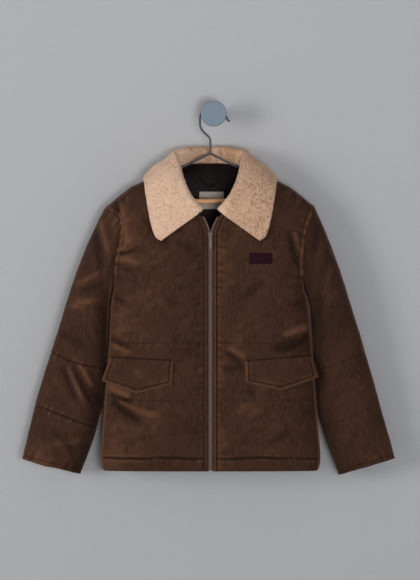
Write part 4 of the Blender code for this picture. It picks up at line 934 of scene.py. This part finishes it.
def sleeve_rings(side, layer):
    """Rings of points: a head that leaves the armhole smoothly, then the channels and the cuff."""
    under = 0.5 - 0.5 * np.cos(TURNS)[:, None]
    start = (1 - under) * np.array(SLEEVE_START[side]) + under * np.array(SLEEVE_UNDER)
    start = unit(start * [SIGN[side], 1.0, 1.0])
    loop = armhole_ring(side, layer) + start * SEAM * 2
    first = section_ring(side, 0.0, layer)
    ahead = unit(section_ring(side, 0.15, layer) - first)
    span = np.linalg.norm(first - loop, axis=-1, keepdims=True)
    rings = []
    for t in HEAD_ROWS:
        rings.append(
            loop * ((1 + 2 * t) * (1 - t) ** 2) + start * span * (t * (1 - t) ** 2)
            + first * (t * t * (3 - 2 * t)) + ahead * span * (t * t * (t - 1))
        )
    for station in STATIONS:
        u = station % 1.0
        rings.append(section_ring(side, station, layer, SLEEVE_PUFF * (4 * u * (1 - u)) ** FULLNESS))
    for share, puff in CUFF_ROWS:
        rings.append(section_ring(side, 3.0 - CUFF_STITCH * share, layer, puff))
    return np.array(rings)


def make_sleeve(side, seed):
    """Padded sleeve: three quilted channels with creases at the elbow, and a hemmed cuff."""
    outer = sleeve_rings(side, "outer")
    inner = sleeve_rings(side, "inner")
    outward = outer - outer.mean(axis=1, keepdims=True)
    wide, wide_out = [np.concatenate([g[:, -1:], g, g[:, :1]], axis=1) for g in (outer, outward)]
    normal = square_out(wide, wide_out)[:, 1:-1]
    x = SIGN[side] * (outer[..., 0] - CENTRE_X)
    z = outer[..., 2]
    along = way_along(outer)
    round_way = np.cumsum(np.linalg.norm(outer - np.roll(outer, 1, axis=1), axis=-1), axis=1)
    flat = 0.25 + 0.75 * np.abs(normal[..., 1])
    inward = -np.cos(TURNS)[None]
    detail = np.zeros_like(x)
    for face in FORWARD:
        facing = fade(FORWARD[face] * normal[..., 1], -0.15, 0.35)
        detail += SLEEVE_CREASE_SHARE * facing * line_height(SLEEVE_CREASES[side, face], x, z)
    # painted shade on the sleeve's side that faces the body
    sleeve_shade_and_highlight = SHADE_BESIDE_BODY * fade(inward, 0.1, 0.9) * fade(along, 0.05, 0.12)
    # painted shade on the left sleeve's head
    sleeve_shade_and_highlight = sleeve_shade_and_highlight + HEAD_SHADE[side] * (1 - fade(along, 0.08, 0.30))
    # painted highlight along the sleeve's outer edge
    sleeve_shade_and_highlight = sleeve_shade_and_highlight - SLEEVE_RIM_HIGHLIGHT * (1 - fade(1 + inward, 0.0, 0.010))
    ring_x, ring_y = ARM_RADIUS * np.cos(TURNS)[None], ARM_RADIUS * np.sin(TURNS)[None]
    soft = 0.0009 * waves(seed, ring_x + 0.3 * ring_y, along, 0.140, 0.060)
    soft = (soft + 0.0005 * waves(seed + 1, ring_y - 0.5 * ring_x, along, 0.050, 0.022)) * flat
    detail += 0.0006 * flat * gathers(seed + 30, 0.06 * TURNS[None], along, 0.022)
    for number, (station, strong) in enumerate(zip(SLEEVE_SEAMS, SLEEVE_QUILT[side])):
        row = len(HEAD_ROWS) + int(np.argmin(np.abs(STATIONS - station)))
        off = along - along[row][None] + 0.0010 * waves(seed + 60 + number, ring_x, ring_y, 0.10, 0.05, 6)
        detail += strong * flat * SLEEVE_GATHER * gathers(seed + 10 + number, 0.05 * TURNS[None], off, 0.014)
        detail += strong * seam_row(off, SLEEVE_DIP, SLEEVE_ROLL, SEAM_HALF) * (0.4 + 0.6 * flat)
    detail *= fade(along, 0.0, 0.004)
    soft *= fade(along, 0.0, 0.004)
    outer = outer + normal * np.maximum(detail + soft, -SAFE_DEPTH)[..., None]
    gap = SIGN[side] * (outer[..., 0] - CENTRE_X) - half_girth(side, outer[..., 2])
    lean = np.clip(gap - REST_GAP, 0.0, REST_REACH) * (1 - fade(gap, 0.004, 0.009)) * fade(gap, -0.001, 0.001)
    outer[..., 0] -= SIGN[side] * (lean * fade(inward, 0.55, 0.95) * fade(along, 0.13, 0.18))
    # painted shade in the sleeve's creases and quilting lines, painted highlight on their ridges
    return wall_between(f"sleeve_{side}_cloth", outer, inner, np.stack([round_way, along], -1),
                        [corduroy, lining], closed=True, painted_shading=painted_shading_of(0.8 * detail - sleeve_shade_and_highlight, soft))


# ---------------------------------------------------------------- collar
def over_body(side, x, s, out):
    """A point beside the outer cloth: s is the way from the shoulder ridge, < 0 in front, > 0 behind."""
    face = "front" if s < 0 else "back"
    quarter = SHOULDER_ROUND * math.pi / 2
    angle = min(abs(s) / quarter, 1.0) * math.pi / 2
    z = float(ridge_z(x)) - SHOULDER_ROUND * (1 - math.cos(angle)) - max(abs(s) - quarter, 0.0)
    depth = float(cloth_depth(side, face, x, z))
    normal = Vector((SHOULDER_SLOPE * math.cos(angle), FORWARD[face] * math.sin(angle), math.cos(angle)))
    lift = out + PUFF * math.sin(angle)
    return Vector((x, CENTRE_Y + FORWARD[face] * depth, z)) + normal.normalized() * lift


def way_from_ridge(x, z, face):
    """Way over the cloth from the shoulder ridge down to a height, as over_body takes it."""
    drop = float(ridge_z(x)) - z
    if drop >= SHOULDER_ROUND:
        way = SHOULDER_ROUND * math.pi / 2 + drop - SHOULDER_ROUND
    else:
        way = SHOULDER_ROUND * math.acos(1 - max(drop, 0.0) / SHOULDER_ROUND)
    return FORWARD[face] * way


def neck_middle(side, face, t):
    """A point of the neck seam, in the middle of the wall."""
    x, z = [float(value) for value in neckline(face, t, WALL / 2)]
    return Vector((x, CENTRE_Y + FORWARD[face] * float(cloth_depth(side, face, x, z, WALL / 2)), z))


def neck_outward(side, face, t):
    """Direction that carries on the panel past its neckline, square to the seam."""
    middle = neck_middle(side, face, t)
    step = 0.0005
    x = max(middle.x, step)
    z = min(middle.z, float(ridge_z(x)) - WALL / 2 - 3 * step)
    here, beside, below = [
        float(cloth_depth(side, face, *place, WALL / 2)) for place in ((x, z), (x + step, z), (x, z - step))
    ]
    normal = Vector((-(beside - here) / step, FORWARD[face], -(here - below) / step)).normalized()
    seam = neck_middle(side, face, min(t + 0.02, 1.0)) - neck_middle(side, face, max(t - 0.02, 0.0))
    away = normal.cross(seam).normalized()
    towards_neck = Vector((-middle.x, CENTRE_Y - middle.y, 0.060))
    return away if away.dot(towards_neck) > 0 else -away


def collar_line(side, t):
    """Middle line of the collar at a station: neck seam, stand, round fold and the fall to its edge."""
    read = row_at(COLLAR, t)
    face = "front" if t <= COLLAR_SHOULDER else "back"
    middle = neck_middle(side, face, read["neck_t"])
    away = neck_outward(side, face, read["neck_t"])
    rise = Vector((read["rise_x"], read["rise_y"], read["rise_z"])).normalized()
    lean = math.sqrt(max(1 - rise.dot(away) ** 2, 0.0))
    gap = COLLAR_NECK_GAP + COLLAR_SHOULDER_GAP * read["neck_t"] ** 4
    neck = middle + away * (gap + COLLAR_WALL / 2 * lean)
    stand = neck + rise * read["stand"]
    start_s = way_from_ridge(middle.x, middle.z, face)
    fall = []
    for u in COLLAR_FALL:
        x = middle.x + (read["edge_x"] - middle.x) * u
        s = start_s + (read["edge_s"] - start_s) * u
        bridge = read["bridge"] * (1 - u * u)
        fall.append(over_body(side, x, s, COLLAR_LIFT + COLLAR_WALL / 2 + bridge))
    over = fall[0] - stand
    over -= rise * over.dot(rise)
    radius = min(max(over.length / 2, COLLAR_FOLD[0]), COLLAR_FOLD[1])
    over.normalize()
    fold = []
    for degrees in (40, 80, 120, 160):
        angle = math.radians(degrees)
        fold.append(stand + rise * radius * math.sin(angle) + over * radius * (1 - math.cos(angle)))
    points = [neck, stand] + fold + fall
    return np.array([[CENTRE_X + SIGN[side] * p.x, p.y, p.z] for p in points])


def resample(points, count):
    """Evenly spaced points on a smooth line through the given ones."""
    steps = np.linalg.norm(np.diff(points, axis=0), axis=1)
    key = np.concatenate([[0], np.cumsum(np.sqrt(steps))])
    fine = np.linspace(0, key[-1], 200)
    line = np.stack([curve(key, points[:, k], fine) for k in range(3)], -1)
    way = way_along(line)
    even = np.linspace(0, way[-1], count)
    return np.stack([np.interp(even, way, line[:, k]) for k in range(3)], -1)


COLLAR_HALF_STATIONS = 190
COLLAR_POINTS = 92
COLLAR_ROUND = 0.0045       # radius of the collar's edge
CURLS = 300.0               # a metre: curls are 3.3 mm wide
CURL_LIFT = 0.0022          # height of a curl
CURL_SEED = 1795458475      # fixes the curls: noise vectors are offset by the clock unless they are seeded


def curl_height(point):
    """Height of the curly pile at a place, 0 between curls to 1 on top of one."""
    place = Vector(point) * CURLS
    bent = place + 0.5 * noise.noise_vector(place * 0.5)
    near = noise.voronoi(bent)[0][0]
    tuft = 1.0 - min(near * 1.15, 1.0) ** 1.5
    return 0.75 * tuft + 0.25 * (0.5 + 0.5 * noise.noise(place * 0.35))


def make_collar():
    """Fall collar in curly pile: a wall round its middle line, every curl a bump on it."""
    noise.seed_set(CURL_SEED)
    last = COLLAR["t"][-1]
    stations = [last * i / (COLLAR_HALF_STATIONS - 1) for i in range(COLLAR_HALF_STATIONS)]
    lines = [resample(collar_line("right", t), COLLAR_POINTS) for t in stations]
    lines += [resample(collar_line("left", t), COLLAR_POINTS) for t in stations[-2::-1]]
    middle = np.array(lines)
    normal = unit(np.cross(np.gradient(middle, axis=0), np.gradient(middle, axis=1)))
    across = way_along(middle, 1)
    length = way_along(middle)
    to_edge = np.minimum(across[:, -1:] - across, across + 0.002)
    to_edge = np.minimum(to_edge, np.minimum(length, length[-1:] - length))
    half = COLLAR_WALL / 2 * (0.25 + 0.75 * rounded(to_edge, COLLAR_ROUND))
    layers, curls = [], []
    for way in (1.0, -1.0):
        plain = middle + way * normal * half[..., None]
        curl = np.array([curl_height(p) for p in plain.reshape(-1, 3)]).reshape(half.shape)
        layer = plain + way * normal * (CURL_LIFT * (curl - 0.45))[..., None]
        layer[..., 1] = np.minimum(layer[..., 1], PRESSED_Y)
        layers.append(layer)
        # painted shade: the pile is darker on the left side and behind the neck, which get less light
        collar_shade = 0.46 * fade(plain[..., 0] - CENTRE_X, 0.020, 0.045)
        collar_shade = collar_shade + 0.50 * fade(plain[..., 1], -0.055, -0.035)
        curls.append(curl - collar_shade * fade(-way * normal[..., 1], -0.1, 0.5))
    thing = wall_between("collar_pile", *layers, np.stack([length, across], -1), [pile])
    attribute = thing.data.attributes.new("curl", "FLOAT", "POINT")
    attribute.data.foreach_set("value", np.concatenate([c.ravel() for c in curls]).astype(np.float32))
    return thing


# ---------------------------------------------------------------- flaps and small trim
def flap_point(side, u, v, out):
    """A point of the flap: u from its outer to its inner edge, v from its top to its lower edge."""
    corner = {name: np.array(place) for name, place in FLAP[side].items()}
    u_out, v_out = u[..., None], v[..., None]
    top = corner["top_outer"] + (corner["top_inner"] - corner["top_outer"]) * u_out
    outer = corner["low_outer"] + (corner["point"] - corner["low_outer"]) * (u_out / 0.5)
    inner = corner["point"] + (corner["low_inner"] - corner["point"]) * ((u_out - 0.5) / 0.5)
    place = top + (np.where(u_out < 0.5, outer, inner) - top) * v_out
    x, z = place[..., 0], place[..., 1]
    wider = FLAP_FLARE * (0.25 + 0.75 * v)      # the stiff flap follows a wider body
    flared = curve(DEPTH["z"], DEPTH["front"], z) * across_share(x, half_girth(side, z) + wider) + PUFF
    close = cloth_depth(side, "front", x, z) + relief(side, "front", x, z)
    return world(side, "front", x, z, np.maximum(flared, close) + out)


def make_flap(side, seed):
    """Stiff lined flap with rolled edges and a sunk row of stitches inside them."""
    u, v = np.meshgrid(np.linspace(0, 1, 121), np.linspace(0, 1, 61))
    width, height = 0.125, 0.058
    round_off = rounded(from_sides(u, v, width, height), 0.0030)
    sewn = np.minimum(np.minimum(u, 1 - u) * width, (1 - v) * height)
    soft = 0.0005 * waves(seed, u * width, v * height, 0.060, 0.020)
    detail = FLAP_GATHER * gathers(seed + 3, u * width + v * height, sewn - FLAP_STITCH, 0.006)
    detail += seam_row(sewn - FLAP_STITCH, FLAP_DIP, FLAP_ROLL, NARROW_HALF)
    detail -= FLAP_TOP_DIP * seam_dip(v * height, 0.0018)
    top = SEAM + FLAP_THICK * (0.35 + 0.65 * round_off) + (detail + soft) * round_off
    outer = flap_point(side, u, v, top)
    inner = flap_point(side, u, v, np.full(u.shape, SEAM))
    places = np.stack([SIGN[side] * (outer[..., 0] - CENTRE_X), outer[..., 2]], -1)
    # painted shade in the sunk stitch row and top seam, painted highlight and wear round the free edges
    painted_shading = painted_shading_of(detail + FLAP_RIM_WEAR_AND_HIGHLIGHT * (1 - fade(sewn, 0.0010, 0.0034)), soft)
    return wall_between(f"flap_{side}_cloth", outer, inner, places, [corduroy], painted_shading=painted_shading)


def ray_on(tree, x, z, face):
    """Where a line square to the wall first meets the cloth, and the cloth's normal there."""
    start = Vector((x, FORWARD[face] * 0.4, z))
    place, normal, _, _ = tree.ray_cast(start, Vector((0, -FORWARD[face], 0)))
    return place, normal


def tree_of(thing):
    """A piece's mesh, ready for rays."""
    return BVHTree.FromPolygons([v.co.copy() for v in thing.data.vertices],
                                [list(p.vertices) for p in thing.data.polygons])


def rectangle(sizes, columns, rows):
    """Grids of u, v, x and z over a small rectangle with the given middle, width and height."""
    u, v = np.meshgrid(np.linspace(0, 1, columns), np.linspace(0, 1, rows))
    return u, v, sizes["x"] + (u - 0.5) * sizes["width"], sizes["z"] + (0.5 - v) * sizes["height"]


def make_patch(front_tree):
    """Woven patch with a raised border, sewn flat on the left chest."""
    u, v, x, z = rectangle(PATCH, 45, 23)
    x = x + CENTRE_X
    to_edge = from_sides(u, v, PATCH["width"], PATCH["height"])
    border = 1 - fade(to_edge, 0.0012, 0.0018)
    thick = PATCH["thick"] * (0.65 + 0.45 * border * np.clip(to_edge / 0.0004, 0, 1))
    outer, inner = np.empty(u.shape + (3,)), np.empty(u.shape + (3,))
    for index in np.ndindex(u.shape):
        place, _ = ray_on(front_tree, x[index], z[index], "front")
        outer[index] = (place.x, place.y - thick[index] - SEAM, place.z)
        inner[index] = (place.x, place.y - SEAM, place.z)
    return wall_between("chest_patch_cloth", outer, inner, np.stack([x, z], -1), [patch_cloth])


def on_lining(x, z, inward):
    """Points this far in front of the lining, behind the neck."""
    y = CENTRE_Y + (cloth_depth("left", "back", np.abs(x), z, WALL) - inward)
    return np.stack([CENTRE_X + x, y, z], -1)


def make_label():
    """Satin label, sewn on the lining below the neck; the ends that are folded under on the real one are left
    out.
    """
    u, v, x, z = rectangle(LABEL, 33, 25)
    inner_edges = fade(from_sides(u, v, LABEL["width"], LABEL["height"]), 0.0, 0.006)
    wave = 0.0003 * waves(71, x, z, 0.030, 0.012) * inner_edges
    layers = [on_lining(x, z, inward + wave) for inward in (0.0010 + LABEL["thick"], 0.0010)]
    return wall_between("neck_label_cloth", *layers, np.stack([x, z], -1), [label_cloth])


def make_loop():
    """Twisted hanging loop, its ends caught in the neck seam."""
    s = np.linspace(-1, 1, 61)
    sag = 1 - s ** 2
    inward = 0.0007 + LOOP["thick"] / 2 + 0.001 * sag
    line = on_lining(s * LOOP["half"], LOOP["z"] - LOOP["sag"] * sag, inward)
    ahead = unit(np.gradient(line, axis=0))
    out = unit(np.array([0.0, 1.0, 0.0]) - ahead * ahead[:, 1:2])
    side = np.cross(ahead, out)
    angle = (2 * math.pi * np.arange(10) / 10)[:, None]
    rings = []
    for i in range(len(s)):
        swell = 1 + 0.10 * math.cos(i * 1.6)        # a strand of the twist comes round every four points
        rings.append(line[i] + side[i] * (LOOP["width"] / 2 * np.cos(angle) * swell)
                     + out[i] * (LOOP["thick"] / 2 * np.sin(angle) * swell))
    verts, faces = [], []
    add_tube(verts, faces, rings)
    places = np.array(verts)[:, ::2]
    return turn_out(put_together("hang_loop_cord", verts, faces, [loop_cloth], places=places))


# ---------------------------------------------------------------- zip
TOOTH_PITCH = 0.0026
TOOTH_SIZE = (0.0042, 0.0026, 0.0016)
TAPE_LAYERS = (0.0022, 0.0034)      # how deep the tape's two faces lie in the fronts


def make_tooth():
    """Points and faces of one zip tooth: a block with a rounded head."""
    bpy.ops.object.select_all(action="DESELECT")
    bpy.ops.mesh.primitive_cube_add(size=1.0)
    tooth = bpy.context.object
    bpy.ops.object.mode_set(mode="EDIT")
    bpy.ops.mesh.select_all(action="SELECT")
    bpy.ops.transform.resize(value=TOOTH_SIZE)
    bpy.ops.mesh.bevel(offset=0.0005, segments=1)
    bpy.ops.object.mode_set(mode="OBJECT")
    points = np.array([v.co[:] for v in tooth.data.vertices])
    faces = [tuple(p.vertices) for p in tooth.data.polygons]
    bpy.data.objects.remove(tooth, do_unlink=True)
    return points, faces


def make_teeth(side, tooth_points, tooth_faces):
    """One side's row of teeth, from the foot up: closed below the slider, spread above it."""
    verts, faces = [], []
    z = np.arange(ZIP_FOOT_Z + 0.002, ZIP_HEAD_Z - 0.001, TOOTH_PITCH)
    x = zip_edge(z) - ZIP_EDGE_X
    places = world(side, "front", x + 0.0016, z, cloth_depth(side, "front", x, z) - 0.0013)
    if side == "right":
        places[:, 2] += TOOTH_PITCH / 2     # its teeth sit between those of the other side
    for place in places[places[:, 2] <= ZIP_HEAD_Z]:
        base = len(verts)
        verts += list(tooth_points + place)
        faces += [tuple(base + k for k in face) for face in tooth_faces]
    return put_together(f"zip_{side}_teeth", verts, faces, [teeth], smooth=False)


def make_tape(side):
    """Woven tape that carries the teeth, its inner edge under the folded front."""
    z = np.linspace(ZIP_FOOT_Z, ZIP_HEAD_Z, 150)[:, None]
    across = np.linspace(-0.0001, 0.0042, 6)
    edge = zip_edge(z) - ZIP_EDGE_X + SEAM / 2
    x = edge + across[None] + 0.0003
    depth = np.repeat(cloth_depth(side, "front", edge, z), len(across), 1)
    z = np.repeat(z, len(across), 1)
    layers = [world(side, "front", x, z, depth - sunk) for sunk in TAPE_LAYERS]
    return wall_between(f"zip_{side}_tape", *layers, np.stack([x, z], -1), [tape])


# ---------------------------------------------------------------- sewing
STITCH_LENGTH = 0.0030
STITCH_GAP = 0.0014
STITCH_RADIUS = 0.00035
# a stitch's sections: share of its length, and its girth and lift in radii
STITCH_SECTIONS = ((0.0, 0.25, -0.3), (0.25, 1.0, 0.5), (0.75, 1.0, 0.5), (1.0, 0.25, -0.3))


def stitch_row(verts, faces, points, normals):
    """Stitches along a row of points on the cloth: short rounded lengths of thread, half sunk."""
    points, normals = np.asarray(points), np.asarray(normals)
    way = way_along(points)
    turns = [(math.cos(2 * math.pi * k / 5), math.sin(2 * math.pi * k / 5)) for k in range(5)]
    for start in np.arange(0, way[-1] - STITCH_LENGTH, STITCH_LENGTH + STITCH_GAP):
        stops = start + STITCH_LENGTH * np.array([place for place, _, _ in STITCH_SECTIONS])
        line = np.stack([np.interp(stops, way, points[:, k]) for k in range(3)], -1)
        normal = unit(np.array([np.interp(start + STITCH_LENGTH / 2, way, normals[:, k]) for k in range(3)]))
        ahead = unit(line[-1] - line[0])
        side = unit(np.cross(ahead, normal))
        up = np.cross(side, ahead)
        rings = []
        for place, (_, thick, lift) in zip(line, STITCH_SECTIONS):
            middle = place + normal * STITCH_RADIUS * lift
            rings.append([middle + (side * c + up * s) * STITCH_RADIUS * thick for c, s in turns])
        add_tube(verts, faces, rings)


def projected_row(tree, line, face):
    """A row drawn in the wall's plane, laid on the cloth."""
    line = np.asarray(line)
    way = way_along(line)
    even = np.arange(0, way[-1], 0.0015)
    points, normals = [], []
    for x, z in zip(np.interp(even, way, line[:, 0]), np.interp(even, way, line[:, 1])):
        place, normal = ray_on(tree, x, z, face)
        if place is None or abs(normal.y) < 0.12:
            continue
        points.append(place)
        normals.append(normal)
    return points, normals


def panel_rows(side, face):
    """The rows of stitches of a half panel, as lines of X and Z."""
    rows = []
    for z in QUILT_Z[:4]:
        start = float(zip_edge(z)) + PLACKET + 0.002 if face == "front" else 0.0
        rows.append([(start, z), (float(half_girth(side, z)) * 0.995, z)])
    if face == "front":
        z = np.linspace(HEM_Z + 0.004, ZIP_TOP_Z + 0.004, 80)
        rows.append(list(zip(zip_edge(z) + PLACKET, z)))
    edge = upper_places(side, face, np.array([1.0]), np.linspace(0.02, 0.985, 60), 0.0)[:, 0]
    down = unit(np.gradient(edge, axis=0))
    inward = np.stack([-down[:, 1], down[:, 0]], -1)
    for away in (0.0020, ARM_ROW):
        rows.append(edge + inward * away)
    if face == "front":
        x = np.linspace(NECK_X + 0.03, 0.190, 60)
        rows.append(list(zip(x, ridge_z(x) - SHOULDER_STITCH * 1.15)))
    return [[(CENTRE_X + SIGN[side] * x, z) for x, z in row] for row in rows]


def sew(name, panel, face, sides):
    """All topstitching and quilting of a panel, as one piece of thread."""
    verts, faces = [], []
    tree = tree_of(panel)
    for side in sides:
        for line in panel_rows(side, face):
            points, normals = projected_row(tree, line, face)
            if len(points) > 2:
                stitch_row(verts, faces, points, normals)
    return turn_out(put_together(name, verts, faces, [thread]))


front_right = finish_piece(make_front("right", 100), "front_right")
front_left = finish_piece(make_front("left", 200), "front_left")
back = finish_piece(make_back(), "back")
sleeve_right = finish_piece(make_sleeve("right", 400), "sleeve_right")
sleeve_left = finish_piece(make_sleeve("left", 500), "sleeve_left")
collar = finish_piece(make_collar(), "collar")
flap_right = finish_piece(make_flap("right", 600), "flap_right")
flap_left = finish_piece(make_flap("left", 700), "flap_left")
chest_patch = finish_piece(make_patch(tree_of(front_left)), "chest_patch")
neck_label = finish_piece(make_label(), "neck_label")
finish_piece(make_loop(), "hang_loop")
tooth_shape = make_tooth()
for side in ("right", "left"):
    finish_piece(make_tape(side), "zip_" + side)
    finish_piece(make_teeth(side, *tooth_shape))
finish_piece(sew("front_right_stitching", front_right, "front", ["right"]))
finish_piece(sew("front_left_stitching", front_left, "front", ["left"]))
finish_piece(sew("back_stitching", back, "back", ["right", "left"]))

for node, finish in (("zip_slider", slider_metal), ("zip_pull", slider_metal), ("hanger_frame", steel),
                     ("hanger_hook", steel), ("hanger_bar", beech), ("wall_knob", paint)):
    thing = bpy.data.objects[node]
    thing.data.materials.clear()
    thing.data.materials.append(finish)

# ---------------------------------------------------------------- stage, light and camera
WALL_Y = 0.0005             # just behind the knob's back
FLOOR_Z = -1.02
STAGE_SIZE = 8.0


def make_wall_paint():
    """Matt emulsion, rolled on: an even pale grey with 8 mm roller marks. Its back is clear, so that the
    jacket also shows from behind."""
    made, tree, shader = new_material("matt wall paint")
    place = add(tree, "ShaderNodeTexCoord").outputs["Object"]
    speck = add(tree, "ShaderNodeTexNoise", {"Vector": place}, sockets={"Scale": 120.0, "Detail": 5.0})
    colour = add(tree, "ShaderNodeMix", {0: speck.outputs[0]}, data_type="RGBA",
                 sockets={6: srgb("#a5a6a7"), 7: srgb("#aaabac")})
    tree.links.new(colour.outputs[2], shader.inputs["Base Color"])
    shader.inputs["Roughness"].default_value = 0.95
    clear = add(tree, "ShaderNodeBsdfTransparent")
    behind = add(tree, "ShaderNodeNewGeometry").outputs["Backfacing"]
    either = add(tree, "ShaderNodeMixShader", {0: behind, 1: shader.outputs[0], 2: clear.outputs[0]})
    tree.links.new(either.outputs[0], tree.nodes["Material Output"].inputs["Surface"])
    return made


def make_stage(name, place, turn, finish):
    """A plane of the stage, with its finish."""
    bpy.ops.object.select_all(action="DESELECT")
    bpy.ops.mesh.primitive_plane_add(size=STAGE_SIZE, location=place, rotation=turn)
    plane = bpy.context.object
    plane.name = name
    plane.data.materials.append(finish)
    return plane


# poured and sealed: an even pale grey, matt, with a faint drift of 200 mm
floor_paint = make_plain("pale floor", "#dad9d8", "#e0dfde", 0.9, 5.0)
make_stage("floor", (0, 0, FLOOR_Z), (0, 0, 0), floor_paint)
backdrop = make_stage("backdrop", (0, WALL_Y, FLOOR_Z + STAGE_SIZE / 2), (math.pi / 2, 0, 0),
                      make_wall_paint())
backdrop.visible_shadow = False     # the lamps behind it light the jacket's back


def area_light(name, place, towards, size, power, colour):
    data = bpy.data.lights.new(name, "AREA")
    data.shape = "DISK"
    data.size = size
    data.energy = power
    data.color = srgb(colour)[:3]
    lamp = bpy.data.objects.new(name, data)
    lamp.location = place
    lamp.rotation_euler = (Vector(towards) - Vector(place)).to_track_quat("-Z", "Y").to_euler()
    bpy.context.scene.collection.objects.link(lamp)


MIDDLE = (-0.007, -0.05, -0.36)
area_light("key", (-4.2, -3.7, -0.10), MIDDLE, 2.4, 139.0, "#fffdfa")
area_light("fill", (0.8, -5.2, -0.92), (-0.007, -0.05, -0.75), 1.6, 158.0, "#fafaff")
area_light("back_left", (-1.2, 2.4, 0.9), MIDDLE, 1.8, 20.0, "#fbfbff")
area_light("back_right", (1.2, 2.4, 0.5), MIDDLE, 1.8, 16.0, "#fbfbff")

world_light = bpy.data.worlds.new("studio")
world_light.use_nodes = True
background = world_light.node_tree.nodes["Background"]
background.inputs["Color"].default_value = srgb("#c4c5c9")
background.inputs["Strength"].default_value = 0.56
bpy.context.scene.world = world_light
bpy.context.scene.view_settings.view_transform = "Standard"

METRES_PER_PIXEL = 0.0019           # at the centre plane, for a frame 420 pixels wide and 580 high
FRAME_HEIGHT = 580 * METRES_PER_PIXEL
DISTANCE = 8.0
camera_data = bpy.data.cameras.new("camera")
camera_data.lens = camera_data.sensor_width * DISTANCE / FRAME_HEIGHT
camera = bpy.data.objects.new("camera", camera_data)
camera.location = (-0.00722, -0.060 - DISTANCE, -0.33516)
camera.rotation_euler = (math.pi / 2, 0, 0)
bpy.context.scene.collection.objects.link(camera)
bpy.context.scene.camera = camera
